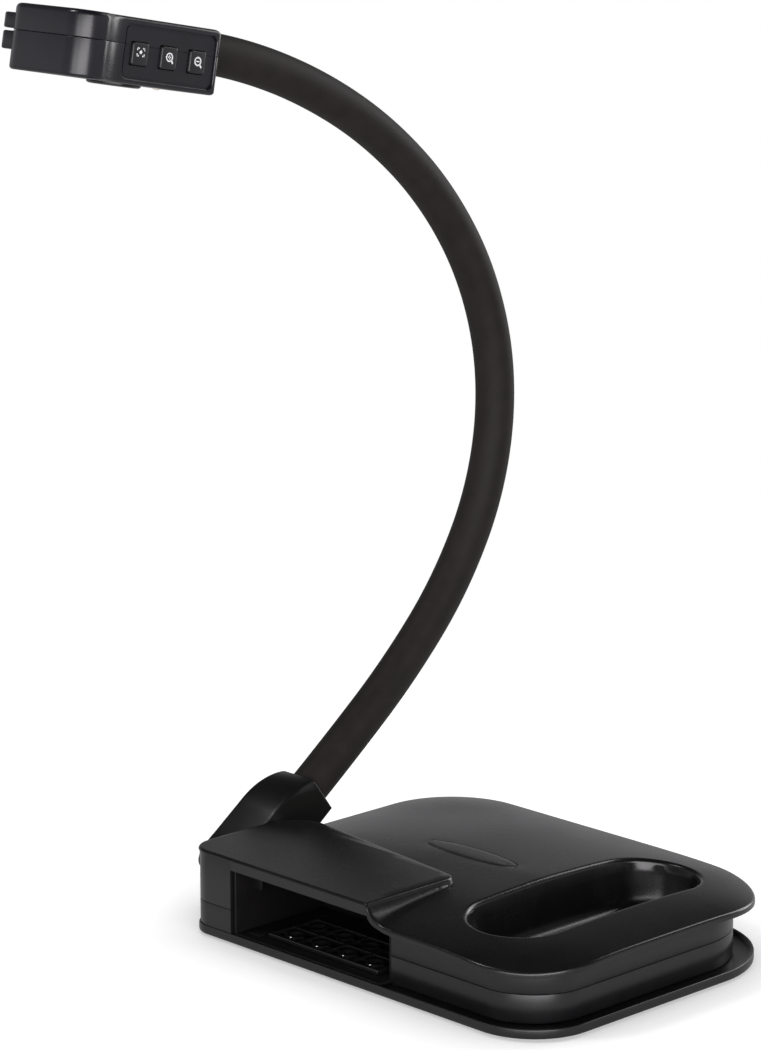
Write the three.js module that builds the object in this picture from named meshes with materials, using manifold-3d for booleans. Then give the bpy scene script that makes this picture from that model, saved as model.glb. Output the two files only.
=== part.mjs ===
// Flexible-arm document camera: a low weighted base with a storage bay and a grip recess,
// an arm block hinged on the base's left side, a gooseneck of ball-jointed links, and a
// camera head with three push buttons.
//
// Millimetres. +X runs to the right along the base's long side, +Y to the back, +Z up.
// The origin is the middle of the base's flat underside; the rubber feet stand just below it.

import * as THREE from 'three';
import { mergeVertices } from 'three/addons/utils/BufferGeometryUtils.js';
import Module from 'manifold-3d';

const wasm = await Module();
wasm.setup();

// ---- Driving dimensions ------------------------------------------------------------------

const GAP = 0.3; // clearance between neighbouring pieces

// Base, in plan
const BASE_X = 115; // half length
const BASE_Y = 90; // half width
const TRAY_CORNER = 33;
const COVER_CORNER = 42;
const BACK_RIGHT_CORNER = 52; // the same on tray and cover
const FRONT_LEFT_CORNER = 13;
const DRUM_INSET = 10; // the arm wraps into this groove
const DRUM_CORNER = 30;
const WALL = 2.2;

// Base, in height
const TRAY_FLOOR = 2.4;
const LIP_TOP = 4.5;
const LIP_WIDTH = 1.6;
const SHELL_FLOOR = 4.1;
const SEAM_Z = 16.2; // parting line between the two drum shells
const SKIRT_Z = 27.4; // underside of the top cover where it meets the drum
const RIM_LOW_Z = 31.2;
const RIM_HIGH_Z = 33;
const DOME_RISE = 7.4;
const DOME_REACH = 38; // distance in from the rim over which the dome gains most of its height
const COVER_SKIN = 2.4;
const BAY_ROOF_Z = 36;
const PLATFORM_Z = 41.8;

// Storage bay, open at the front
const BAY_LEFT = -83;
const BAY_RIGHT = 12.6;
const BAY_BACK = -30;
const BAY_FLOOR = 4.6;
const LINER_SKIN = 1.6;

// Front left block that carries the arm hinge
const BLOCK_INSET = 0.5;
const BLOCK_BACK = -33;

// Grip recess
const GRIP_X = 59;
const GRIP_Y = 2;
const GRIP_RADIUS = 24.5;
const GRIP_STRAIGHT = 86;
const GRIP_FLOOR = 14;
const GRIP_SKIN = 2;

// Arm block and its hinge
const ARM_LEFT = -139.5;
const ARM_RIGHT = -115.5;
const ARM_X = (ARM_LEFT + ARM_RIGHT) / 2;
const PIVOT_Y = -45;
const PIVOT_Z = 20;
const PIN_RADIUS = 3;

// Gooseneck
const NECK_RADIUS = 9.9;
const NECK_BORE = 4;
const SOCKET_GAP = 0.6;
const LINK_LENGTH = 53.4;
const NECK_START = { y: 0.5, z: 48, heading: 36.3 }; // on the arm block's end face
const NECK_BENDS = [2, 8, 15, 21, 22, 19, 15, 12, 10, 10]; // degrees each link curves by
const STUB_RADIUS = 5.5;
const ARM_STUB = 14;
const HEAD_STUB = 12;

// Camera head. Its own frame has its origin in the middle of the rear face, -Y to the
// front and +Z square to its top face.
const HEAD_LENGTH = 88.3;
const HEAD_HALF_HEIGHT = 15;
const HEAD_REAR_HALF = 21.8;
const HEAD_FRONT_HALF = 26.9;
const HEAD_CORNER = 11;
const HEAD_TILT = 10.5;
const HEAD_ABOVE_NECK = -4.5; // the neck enters above the middle of the rear face
const HEAD_WALL = 2;
const HEAD_SEAM = 2.7;
const LENS_Y = -43;
const LAMP_Y = -17;

const BUTTON_WIDTH = 9.5;
const BUTTON_HEIGHT = 10.3;
const BUTTON_Y = [-48.2, -30.9, -13.6];
const BUTTON_Z = -1;

// ---- Materials ---------------------------------------------------------------------------

const FINISHES = {
  casing: { color: 0x1b1a1c, roughness: 0.45, metalness: 0 },
  cover: { color: 0x222124, roughness: 0.4, metalness: 0 },
  liner: { color: 0x151416, roughness: 0.6, metalness: 0 },
  sleeve: { color: 0x2a2623, roughness: 0.75, metalness: 0 },
  rubber: { color: 0x111111, roughness: 0.9, metalness: 0 },
  steel: { color: 0x8d9196, roughness: 0.35, metalness: 1 },
  board: { color: 0x1d5b33, roughness: 0.5, metalness: 0 },
  socket: { color: 0xc9ccd0, roughness: 0.3, metalness: 1 },
  glass: { color: 0x20242c, roughness: 0.05, metalness: 0 },
  button: { color: 0x1a191b, roughness: 0.4, metalness: 0 },
  lamp: { color: 0xf2efe2, roughness: 0.2, metalness: 0 },
};

function piece(name, geometry, finish) {
  const mesh = new THREE.Mesh(geometry, new THREE.MeshStandardMaterial(FINISHES[finish]));
  mesh.name = name;
  return mesh;
}

// ---- Solid helpers -----------------------------------------------------------------------

function solid(geometry) {
  const bare = geometry.clone();
  bare.deleteAttribute('normal');
  bare.deleteAttribute('uv');
  const merged = mergeVertices(bare, 1e-4);
  return new wasm.Manifold(
    new wasm.Mesh({
      numProp: 3,
      vertProperties: new Float32Array(merged.attributes.position.array),
      triVerts: new Uint32Array(merged.index.array),
    }),
  );
}

function surface(manifold) {
  const mesh = manifold.getMesh();
  const geometry = new THREE.BufferGeometry();
  geometry.setAttribute('position', new THREE.BufferAttribute(mesh.vertProperties, 3));
  geometry.setIndex(new THREE.BufferAttribute(mesh.triVerts, 1));
  return geometry;
}

const cut = (body, ...tools) => tools.reduce((left, tool) => left.subtract(tool), body);
const join = (body, ...others) => others.reduce((whole, other) => whole.add(other), body);

function block(x0, x1, y0, y1, z0, z1) {
  const box = new THREE.BoxGeometry(x1 - x0, y1 - y0, z1 - z0);
  return solid(box.translate((x0 + x1) / 2, (y0 + y1) / 2, (z0 + z1) / 2));
}

// A cylinder standing on z0, or lying along X or Y when turned.
function post(x, y, z0, z1, radius, sides = 24) {
  const rod = new THREE.CylinderGeometry(radius, radius, z1 - z0, sides);
  return solid(rod.rotateX(Math.PI / 2).translate(x, y, (z0 + z1) / 2));
}

function rodAlongX(x0, x1, y, z, radius, sides = 16) {
  const rod = new THREE.CylinderGeometry(radius, radius, x1 - x0, sides);
  return solid(rod.rotateZ(Math.PI / 2).translate((x0 + x1) / 2, y, z));
}

function rodAlongY(x, y0, y1, z, radius, sides = 24) {
  const rod = new THREE.CylinderGeometry(radius, radius, y1 - y0, sides);
  return solid(rod.translate(x, (y0 + y1) / 2, z));
}

function slab(shape, z0, z1, curveSegments = 6) {
  const plate = new THREE.ExtrudeGeometry(shape, {
    depth: z1 - z0,
    bevelEnabled: false,
    curveSegments,
  });
  return solid(plate.translate(0, 0, z0));
}

// Rectangle with its own radius at each corner: front left, front right, back right, back left.
function roundedRectangle(x0, x1, y0, y1, [fl, fr, br, bl]) {
  const shape = new THREE.Shape();
  shape.moveTo(x0 + fl, y0);
  shape.lineTo(x1 - fr, y0);
  shape.absarc(x1 - fr, y0 + fr, fr, -Math.PI / 2, 0);
  shape.lineTo(x1, y1 - br);
  shape.absarc(x1 - br, y1 - br, br, 0, Math.PI / 2);
  shape.lineTo(x0 + bl, y1);
  shape.absarc(x0 + bl, y1 - bl, bl, Math.PI / 2, Math.PI);
  shape.lineTo(x0, y0 + fl);
  shape.absarc(x0 + fl, y0 + fl, fl, Math.PI, 1.5 * Math.PI);
  return shape;
}

function plateShape(inset, corner) {
  const round = Math.max(corner - inset, 3);
  const frontLeft = Math.max(FRONT_LEFT_CORNER - inset, 3);
  const backRight = Math.max(BACK_RIGHT_CORNER - inset, 3);
  return roundedRectangle(
    -BASE_X + inset,
    BASE_X - inset,
    -BASE_Y + inset,
    BASE_Y - inset,
    [frontLeft, round, backRight, round],
  );
}

// Skins a stack of rings of equal length. Rings run counterclockwise seen from the end they
// lead to; a stack closes on itself as a tube, or each end is capped by a fan.
function skin(rings, closed = false) {
  const count = rings[0].length;
  const points = rings.flat();
  const faces = [];
  const last = closed ? rings.length : rings.length - 1;
  for (let r = 0; r < last; r++) {
    const low = r * count;
    const high = ((r + 1) % rings.length) * count;
    for (let j = 0; j < count; j++) {
      const k = (j + 1) % count;
      faces.push(low + j, low + k, high + k, low + j, high + k, high + j);
    }
  }
  if (!closed) {
    const middle = (ring) =>
      ring.reduce((sum, p) => sum.add(p), new THREE.Vector3()).divideScalar(count);
    const top = (rings.length - 1) * count;
    points.push(middle(rings[0]), middle(rings[rings.length - 1]));
    for (let j = 0; j < count; j++) {
      const k = (j + 1) % count;
      faces.push(points.length - 2, k, j, points.length - 1, top + j, top + k);
    }
  }
  const geometry = new THREE.BufferGeometry().setFromPoints(points);
  geometry.setIndex(faces);
  return geometry;
}

// ---- Base --------------------------------------------------------------------------------

const drumShape = (inset) =>
  roundedRectangle(
    -BASE_X + DRUM_INSET + inset,
    BASE_X - DRUM_INSET - inset,
    -BASE_Y + DRUM_INSET + inset,
    BASE_Y - DRUM_INSET - inset,
    [6, DRUM_CORNER - inset, BACK_RIGHT_CORNER - DRUM_INSET - inset, DRUM_CORNER - inset],
  );

const blockShape = (inset) =>
  roundedRectangle(
    -BASE_X + BLOCK_INSET + inset,
    BAY_LEFT + 20,
    -BASE_Y + BLOCK_INSET + inset,
    BLOCK_BACK - inset,
    [FRONT_LEFT_CORNER - inset, 0.5, 0.5, 5 - inset],
  );

// The plan of the whole side wall: the drum with the front left block added.
const wallSolid = (inset, z0, z1) =>
  join(slab(drumShape(inset), z0, z1), slab(blockShape(inset), z0, z1));

// The bay and everything that fills it, taken out of the shells.
const BAY_SKIN = LINER_SKIN + GAP;
const baySpace = (z1) =>
  block(BAY_LEFT - BAY_SKIN, BAY_RIGHT + BAY_SKIN, -100, BAY_BACK + BAY_SKIN, 0, z1);

const FOOT_RADIUS = 8;
const FOOT_SINK = 1;
const FOOT_LOW = -1.2;
const FOOT_PLACES = {
  foot_front_left: [-98, -72],
  foot_front_right: [88, -63],
  foot_back_right: [88, 63],
  foot_back_left: [-88, 63],
};

function bottomTray() {
  const tray = cut(
    slab(plateShape(0, TRAY_CORNER), 0, LIP_TOP),
    slab(plateShape(LIP_WIDTH, TRAY_CORNER), TRAY_FLOOR, LIP_TOP + 1),
  );
  const pockets = Object.values(FOOT_PLACES).map(([x, y]) =>
    post(x, y, -1, FOOT_SINK, FOOT_RADIUS + GAP, 16),
  );
  const holes = TRAY_SCREWS.map(([x, y]) =>
    join(
      post(x, y, -1, TRAY_FLOOR + 1, SCREW_RADIUS + GAP, 12),
      post(x, y, -1, 1.2, SCREW_HEAD_RADIUS + GAP, 12),
    ),
  );
  return piece('bottom_tray', surface(cut(tray, ...pockets, ...holes)), 'casing');
}

function feet() {
  return Object.entries(FOOT_PLACES).map(([name, [x, y]]) =>
    piece(name, surface(post(x, y, FOOT_LOW, FOOT_SINK - GAP, FOOT_RADIUS, 16)), 'rubber'),
  );
}

const SCREW_RADIUS = 1.4;
const SCREW_HEAD_RADIUS = 2.9;
const TRAY_SCREWS = [
  [-70, -10],
  [22, -10],
  [-88, 40],
  [98, 0],
];

// Flat-headed screws from below, their heads sunk in the tray.
function trayScrews() {
  return TRAY_SCREWS.map(([x, y], index) => {
    const head = post(x, y, 0.1, 0.9, SCREW_HEAD_RADIUS, 12);
    const screw = join(head, post(x, y, 0.5, 12, SCREW_RADIUS, 12));
    return piece(`tray_screw_${index + 1}`, surface(screw), 'steel');
  });
}

const SOCKET_X = -40;
const SOCKET_HALF = 6;
const SOCKET_LOW = 11;
const SOCKET_HIGH = 22;

function socketWindow() {
  const half = SOCKET_HALF + GAP;
  return block(SOCKET_X - half, SOCKET_X + half, 70, 85, SOCKET_LOW - GAP, SOCKET_HIGH + GAP);
}

const hingeHole = () => rodAlongX(-120, -96, PIVOT_Y, PIVOT_Z, PIN_RADIUS + GAP);

function lowerShell() {
  const low = TRAY_FLOOR + GAP;
  const outside = join(
    slab(drumShape(0), low, SEAM_Z - GAP / 2),
    slab(blockShape(LIP_WIDTH), low, LIP_TOP + 2),
    slab(blockShape(0), LIP_TOP + GAP, SEAM_Z - GAP / 2),
  );
  const thickFoot = LIP_TOP + 3;
  const cavity = join(
    wallSolid(WALL + 1.5, SHELL_FLOOR, thickFoot + 1),
    wallSolid(WALL, thickFoot, SEAM_Z + 1),
  );
  const bosses = TRAY_SCREWS.map(([x, y]) => post(x, y, low, 13, 3.6, 12));
  const pilots = TRAY_SCREWS.map(([x, y]) => post(x, y, 0, 14, SCREW_RADIUS + GAP, 12));
  const shell = join(cut(outside, cavity), ...bosses);
  const openings = [baySpace(30), socketWindow(), ...pilots];
  return piece('lower_shell', surface(cut(shell, ...openings)), 'casing');
}

function upperShell() {
  const low = SEAM_Z + GAP / 2;
  const drum = cut(slab(drumShape(0), low, SKIRT_Z - GAP), slab(drumShape(WALL), low - 1, 40));
  const corner = cut(
    slab(blockShape(0), low, BAY_ROOF_Z - GAP),
    slab(blockShape(WALL), low - 1, BAY_ROOF_Z + 1),
    slab(drumShape(WALL), low - 1, SKIRT_Z),
  );
  const open = cut(drum, slab(blockShape(WALL), low - 1, 40), socketWindow());
  const shell = cut(join(open, corner), baySpace(50), hingeHole());
  return piece('upper_shell', surface(shell), 'casing');
}

const domeHeight = (inset) => RIM_HIGH_Z + DOME_RISE * (1 - Math.exp(-inset / DOME_REACH));

function plateRing(inset, z) {
  const outline = plateShape(inset, COVER_CORNER);
  const points = outline.extractPoints(6).shape;
  return points.map((p) => new THREE.Vector3(p.x, p.y, z));
}

function gripShape(inset) {
  const radius = GRIP_RADIUS - inset;
  const half = GRIP_STRAIGHT / 2;
  const shape = new THREE.Shape();
  shape.moveTo(GRIP_X + radius, GRIP_Y - half);
  shape.lineTo(GRIP_X + radius, GRIP_Y + half);
  shape.absarc(GRIP_X, GRIP_Y + half, radius, 0, Math.PI);
  shape.lineTo(GRIP_X - radius, GRIP_Y - half);
  shape.absarc(GRIP_X, GRIP_Y - half, radius, Math.PI, 2 * Math.PI);
  return shape;
}

// The raised roof of the bay, with its right end falling away to the dome.
function platformShape() {
  const left = -BASE_X + BLOCK_INSET;
  const front = -BASE_Y + BLOCK_INSET;
  const round = FRONT_LEFT_CORNER;
  const shape = new THREE.Shape();
  shape.moveTo(left + round, front);
  shape.lineTo(9, front);
  shape.lineTo(8, -38);
  shape.quadraticCurveTo(8, -32, 2, -31);
  shape.lineTo(-90, -20);
  shape.quadraticCurveTo(-110, -20, left, -35);
  shape.lineTo(left, front + round);
  shape.absarc(left + round, front + round, round, Math.PI, 1.5 * Math.PI);
  return shape;
}

// The curved end of the bay roof, as a section drawn in X and Z and run back along Y.
function rampSolid() {
  const section = new THREE.Shape();
  section.moveTo(5, BAY_ROOF_Z);
  section.lineTo(8.5, BAY_ROOF_Z);
  section.quadraticCurveTo(11, 31, 20, RIM_LOW_Z);
  section.lineTo(23, RIM_LOW_Z);
  section.lineTo(23, RIM_HIGH_Z);
  section.quadraticCurveTo(12, 34, 9, PLATFORM_Z);
  section.lineTo(5, PLATFORM_Z);
  const depth = 54;
  const ramp = new THREE.ExtrudeGeometry(section, { depth, bevelEnabled: false, curveSegments: 5 });
  ramp.rotateX(Math.PI / 2);
  return solid(ramp.translate(0, -BASE_Y + BLOCK_INSET + depth, 0));
}

function coverDome() {
  const inner = [70, 45, 25, DRUM_INSET + WALL].map((inset) =>
    plateRing(inset, domeHeight(inset) - COVER_SKIN),
  );
  const edge = [
    plateRing(DRUM_INSET + WALL, SKIRT_Z),
    plateRing(DRUM_INSET - 0.5, SKIRT_Z),
    plateRing(5, 28.6),
    plateRing(1.2, 30.4),
    plateRing(0, RIM_LOW_Z + 0.6),
    plateRing(0.3, RIM_HIGH_Z - 0.4),
    plateRing(1.4, RIM_HIGH_Z),
  ];
  const outer = [8, 18, 32, 50, 70].map((inset) => plateRing(inset, domeHeight(inset)));
  return solid(skin([...inner, ...edge, ...outer]));
}

const BADGE = { x: -16, y: 3.5, halfLength: 29, halfWidth: 7, floor: 38.6 };

function badgeShape(inset) {
  const shape = new THREE.Shape();
  const halfLength = BADGE.halfLength - inset;
  const halfWidth = BADGE.halfWidth - inset;
  shape.absellipse(BADGE.x, BADGE.y, halfLength, halfWidth, 0, 2 * Math.PI);
  return shape;
}

function topCover() {
  const overBay = block(-130, BAY_RIGHT + BAY_SKIN, -100, BAY_BACK + BAY_SKIN, 0, BAY_ROOF_Z);
  const dome = cut(coverDome(), overBay);
  const whole = join(dome, slab(platformShape(), BAY_ROOF_Z, PLATFORM_Z), rampSolid());
  const cup = slab(gripShape(-GRIP_SKIN), GRIP_FLOOR - GRIP_SKIN, 36.5);
  const recess = slab(gripShape(0), GRIP_FLOOR, 60);
  const badgePocket = slab(badgeShape(-GAP), BADGE.floor, 50, 24);
  return piece('top_cover', surface(cut(join(whole, cup), recess, badgePocket)), 'cover');
}

function badge() {
  const low = BADGE.floor + GAP;
  return piece('badge', surface(slab(badgeShape(0), low, low + 0.8, 24)), 'cover');
}

// Open-topped and open-fronted box that lines the storage bay.
function bayLiner() {
  const low = TRAY_FLOOR + GAP;
  const top = BAY_ROOF_Z - GAP;
  const front = -BASE_Y + BLOCK_INSET + LIP_WIDTH;
  const drumFront = -BASE_Y + DRUM_INSET;
  const left = BAY_LEFT - LINER_SKIN;
  const right = BAY_RIGHT + LINER_SKIN;
  const outside = block(left, right, front, BAY_BACK + LINER_SKIN, low, top);
  const inside = block(BAY_LEFT, BAY_RIGHT, -100, BAY_BACK, BAY_FLOOR, 60);
  const notch = block(BAY_RIGHT - GAP, 40, -100, drumFront, BAY_FLOOR, 60);
  const skirtNotch = block(8, 40, -100, BAY_BACK + 10, SKIRT_Z - 1, 60);
  const tab = block(BAY_LEFT - 0.5, BAY_LEFT + 6.8, -77.5, -75.5, 25, top);
  return piece('bay_liner', surface(join(cut(outside, inside, notch, skirtNotch), tab)), 'liner');
}

// Lattice that lies on the bay floor.
function bayGrille() {
  const low = BAY_FLOOR + GAP;
  const high = low + 2.2;
  const across = [-80, -65, -50].map((y) => block(-68, 6, y - 0.8, y + 0.8, low, high));
  const along = [-68, -50, -32, -14, 4].map((x) => block(x, x + 1.8, -80.8, -49.2, low, high));
  return piece('bay_grille', surface(join(...across, ...along)), 'liner');
}

function ballastPlate() {
  const plate = block(-90, 28, -20, 64, SHELL_FLOOR + GAP, 7.4);
  const clear = TRAY_SCREWS.slice(0, 3).map(([x, y]) => post(x, y, 0, 20, 4.2, 12));
  return piece('ballast_plate', surface(cut(plate, ...clear)), 'steel');
}

function mainBoard() {
  return piece('main_board', surface(block(-80, 10, 8, 74, 9, 10.6)), 'board');
}

function usbSocket() {
  const left = SOCKET_X - SOCKET_HALF;
  const right = SOCKET_X + SOCKET_HALF;
  const can = block(left, right, 64, 80.5, SOCKET_LOW, SOCKET_HIGH);
  const mouth = block(left + 1.6, right - 1.6, 68, 90, SOCKET_LOW + 1.4, SOCKET_HIGH - 1.4);
  return piece('usb_socket', surface(cut(can, mouth)), 'socket');
}

function processorCan() {
  return piece('processor_can', surface(block(-22, -2, 28, 48, 10.9, 13.5)), 'steel');
}

// ---- Hinge and arm block -----------------------------------------------------------------

function hingeBracket() {
  const plate = block(-111.9, -109.3, PIVOT_Y - 9, PIVOT_Y + 6, 9, 32);
  return piece('hinge_bracket', surface(cut(plate, hingeHole())), 'steel');
}

function hingePin() {
  const shaft = rodAlongX(-133.2, -104.5, PIVOT_Y, PIVOT_Z, PIN_RADIUS);
  const head = rodAlongX(-136, -133.2, PIVOT_Y, PIVOT_Z, 6);
  return piece('hinge_pin', surface(join(shaft, head)), 'steel');
}

function hingeNut() {
  const nut = rodAlongX(-108.9, -105, PIVOT_Y, PIVOT_Z, 6, 6);
  return piece('hinge_nut', surface(cut(nut, hingeHole())), 'steel');
}

function frictionWasher(name, x0, x1) {
  const disc = rodAlongX(x0, x1, PIVOT_Y, PIVOT_Z, 8);
  const hole = rodAlongX(x0 - 1, x1 + 1, PIVOT_Y, PIVOT_Z, PIN_RADIUS + GAP);
  return piece(name, surface(cut(disc, hole)), 'steel');
}

// The block's side view in Y and Z. Its top edge is a long convex curve that ends flat over
// the neck socket; dropping the curve makes the lower edge on the base's side.
function armOutline(inset, topDrop) {
  const across = Math.cos((NECK_START.heading * Math.PI) / 180);
  const down = Math.sin((NECK_START.heading * Math.PI) / 180);
  const half = 10.6 - inset;
  const back = inset + GAP;
  const end = { y: NECK_START.y - across * back, z: NECK_START.z - down * back };
  const shape = new THREE.Shape();
  shape.moveTo(end.y - down * half, end.z + across * half);
  shape.quadraticCurveTo(-21, 57.5 - inset - topDrop * 0.7, -34, 47.5 - inset - topDrop);
  shape.lineTo(-52 + inset * 0.7, 34.5 - inset * 0.7 - topDrop);
  shape.quadraticCurveTo(-65 + inset, 26 - topDrop * 0.5, -62 + inset, 20 + inset * 0.3);
  shape.quadraticCurveTo(-56 + inset * 0.7, 8.5 + inset, -42, 8.5 + inset);
  shape.quadraticCurveTo(-32, 8.5 + inset, -24 - inset * 0.5, 16 + inset);
  shape.lineTo(end.y + down * half - 2 * across, end.z - across * half - 2 * down);
  shape.lineTo(end.y + down * half, end.z - across * half);
  return shape.extractPoints(6).shape;
}

// Skins a side view on the left and another on the right into one solid.
function armSolid(leftOutline, xLeft, rightOutline, xRight) {
  const leftRing = leftOutline.map((p) => new THREE.Vector3(xLeft, p.x, p.y));
  const rightRing = rightOutline.map((p) => new THREE.Vector3(xRight, p.x, p.y));
  return skinFlat([leftRing, rightRing], rightOutline);
}

// Like skin, for rings whose flat ends need a proper triangulation.
function skinFlat([first, last], outline) {
  const count = first.length;
  const faces = [];
  for (let j = 0; j < count; j++) {
    const k = (j + 1) % count;
    faces.push(j, k, count + k, j, count + k, count + j);
  }
  for (const [a, b, c] of THREE.ShapeUtils.triangulateShape(outline, [])) {
    faces.push(a, c, b, count + a, count + b, count + c);
  }
  const geometry = new THREE.BufferGeometry().setFromPoints([...first, ...last]);
  geometry.setIndex(faces);
  return solid(geometry);
}

const ARM_TOP_DROP = 4.2;
const ARM_SKIN = 2.6;

function armShells() {
  const full = armSolid(armOutline(0, 0), ARM_LEFT, armOutline(0, ARM_TOP_DROP), ARM_RIGHT);
  const hollow = armSolid(
    armOutline(ARM_SKIN, 0.5),
    ARM_LEFT + ARM_SKIN,
    armOutline(ARM_SKIN, ARM_TOP_DROP),
    ARM_RIGHT - ARM_SKIN,
  );
  const shell = cut(full, hollow, armStubHole(), hingeHole());
  const leftHalf = cut(shell, block(ARM_X - GAP / 2, 0, -200, 200, -100, 200));
  const rightHalf = cut(shell, block(-300, ARM_X + GAP / 2, -200, 200, -100, 200));
  return [
    piece('arm_shell_left', surface(leftHalf), 'casing'),
    piece('arm_shell_right', surface(rightHalf), 'casing'),
  ];
}

// A cylinder along the neck's first direction, from one distance to another.
function neckRod(from, to, radius, sides = 16) {
  const rod = new THREE.CylinderGeometry(radius, radius, to - from, sides);
  rod.translate(0, (from + to) / 2, 0);
  rod.rotateX((NECK_START.heading * Math.PI) / 180);
  return solid(rod.translate(ARM_X, NECK_START.y, NECK_START.z));
}

const armStubHole = () => neckRod(-6, 5, STUB_RADIUS + GAP);

// Steel link that turns on the pin and clamps the neck's root.
function armCore() {
  const half = 5;
  const strapHalf = 4.2;
  const heading = (NECK_START.heading * Math.PI) / 180;
  const rise = NECK_START.z - 10 * Math.sin(heading) - PIVOT_Z;
  const run = NECK_START.y - 10 * Math.cos(heading) - PIVOT_Y;
  const strap = new THREE.BoxGeometry(2 * half, Math.hypot(rise, run), 2 * strapHalf);
  strap.rotateX(Math.atan2(rise, run));
  strap.translate(ARM_X, PIVOT_Y + run / 2, PIVOT_Z + rise / 2);
  const knuckle = rodAlongX(ARM_X - half, ARM_X + half, PIVOT_Y, PIVOT_Z, 8);
  const clamp = neckRod(-15, -4, STUB_RADIUS + 2.1);
  const pinHole = rodAlongX(ARM_X - 20, ARM_X + 20, PIVOT_Y, PIVOT_Z, PIN_RADIUS + GAP);
  const stubHole = neckRod(-ARM_STUB - GAP, 0, STUB_RADIUS + GAP);
  const core = cut(join(knuckle, solid(strap), clamp), pinHole, stubHole);
  return piece('arm_core', surface(core), 'steel');
}

// ---- Gooseneck ---------------------------------------------------------------------------

// The neck's middle line, as one arc for each link: the place and heading at both its ends.
function neckArcs() {
  const arcs = [];
  let { y, z } = NECK_START;
  let heading = (NECK_START.heading * Math.PI) / 180;
  for (const degrees of NECK_BENDS) {
    const bend = (degrees * Math.PI) / 180;
    const curvature = bend / LINK_LENGTH;
    const start = { y, z, heading };
    y += (Math.sin(heading + bend) - Math.sin(heading)) / curvature;
    z -= (Math.cos(heading + bend) - Math.cos(heading)) / curvature;
    heading += bend;
    arcs.push({ start, end: { y, z, heading }, curvature });
  }
  return arcs;
}

function alongArc({ start, curvature }, distance) {
  const heading = start.heading + curvature * distance;
  return {
    y: start.y + (Math.sin(heading) - Math.sin(start.heading)) / curvature,
    z: start.z - (Math.cos(heading) - Math.cos(start.heading)) / curvature,
    heading,
  };
}

const NECK_SIDES = 14;

// A ring round the neck's line, moved ahead along its heading by a given step.
function neckRing({ y, z, heading }, step, radius) {
  const ring = [];
  const forward = { y: Math.cos(heading), z: Math.sin(heading) };
  for (let i = 0; i < NECK_SIDES; i++) {
    const angle = (2 * Math.PI * i) / NECK_SIDES;
    const side = Math.cos(angle) * radius;
    const lift = Math.sin(angle) * radius;
    ring.push(
      new THREE.Vector3(
        ARM_X + side,
        y + forward.y * step + forward.z * lift,
        z + forward.z * step - forward.y * lift,
      ),
    );
  }
  return ring;
}

// Rings over part of a sphere centred on a joint, from one radius to another.
function sphereRings(place, sphere, fromRadius, toRadius, count) {
  const from = Math.asin(fromRadius / sphere);
  const to = Math.asin(toRadius / sphere);
  return Array.from({ length: count }, (_, i) => {
    const angle = from + ((to - from) * i) / (count - 1);
    return neckRing(place, sphere * Math.cos(angle), sphere * Math.sin(angle));
  });
}

function neckLink(arc, index, total) {
  const socket =
    index === 0
      ? [
          neckRing(arc.start, -ARM_STUB, NECK_BORE),
          neckRing(arc.start, -ARM_STUB, STUB_RADIUS),
          neckRing(arc.start, GAP, STUB_RADIUS),
          neckRing(arc.start, GAP, NECK_RADIUS),
        ]
      : sphereRings(arc.start, NECK_RADIUS + SOCKET_GAP, NECK_BORE, NECK_RADIUS, 4);
  const wall = [0.25, 0.5, 0.75].map((part) =>
    neckRing(alongArc(arc, part * LINK_LENGTH), 0, NECK_RADIUS),
  );
  const tip =
    index === total - 1
      ? [
          neckRing(arc.end, -GAP, NECK_RADIUS),
          neckRing(arc.end, -GAP, STUB_RADIUS),
          neckRing(arc.end, HEAD_STUB, STUB_RADIUS),
          neckRing(arc.end, HEAD_STUB, NECK_BORE),
        ]
      : sphereRings(arc.end, NECK_RADIUS, NECK_RADIUS, NECK_BORE, 5);
  return piece(`neck_link_${index + 1}`, skin([...socket, ...wall, ...tip], true), 'sleeve');
}

// ---- Camera head, in its own frame -------------------------------------------------------

function headShape(inset) {
  const rear = HEAD_REAR_HALF - inset;
  const front = HEAD_FRONT_HALF - inset;
  const nose = -HEAD_LENGTH + inset;
  const round = HEAD_CORNER - inset;
  const shape = new THREE.Shape();
  shape.moveTo(rear - 2, -inset);
  shape.lineTo(-rear + 2, -inset);
  shape.quadraticCurveTo(-rear, -inset, -rear, -inset - 2);
  shape.lineTo(-rear, -66);
  shape.bezierCurveTo(-rear, -70.5, -front, -71.5, -front, -77);
  shape.lineTo(-front, nose + round);
  shape.absarc(-front + round, nose + round, round, Math.PI, 1.5 * Math.PI);
  shape.lineTo(front - round, nose);
  shape.absarc(front - round, nose + round, round, 1.5 * Math.PI, 2 * Math.PI);
  shape.lineTo(front, -77);
  shape.bezierCurveTo(front, -71.5, rear, -70.5, rear, -66);
  shape.lineTo(rear, -inset - 2);
  shape.quadraticCurveTo(rear, -inset, rear - 2, -inset);
  return shape;
}

const RECESS = { front: -57.6, rear: -2.8, low: -12.6, high: 11.9, depth: 0.7, corner: 3 };

// The shallow field round the buttons, cut into the right side of both shells.
function recessTool() {
  const field = roundedRectangle(
    RECESS.front,
    RECESS.rear,
    RECESS.low,
    RECESS.high,
    Array(4).fill(RECESS.corner),
  );
  const plate = new THREE.ExtrudeGeometry(field, { depth: 5, bevelEnabled: false, curveSegments: 4 });
  plate.rotateX(Math.PI / 2).rotateZ(Math.PI / 2);
  return solid(plate.translate(HEAD_REAR_HALF - RECESS.depth, 0, 0));
}

const buttonHoles = () =>
  BUTTON_Y.map((y) => onButton(14, 34, y, BUTTON_WIDTH / 2 + GAP, BUTTON_HEIGHT / 2 + GAP));

const neckHole = () => rodAlongY(0, -10, 5, -HEAD_ABOVE_NECK, STUB_RADIUS + GAP, 16);

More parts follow.
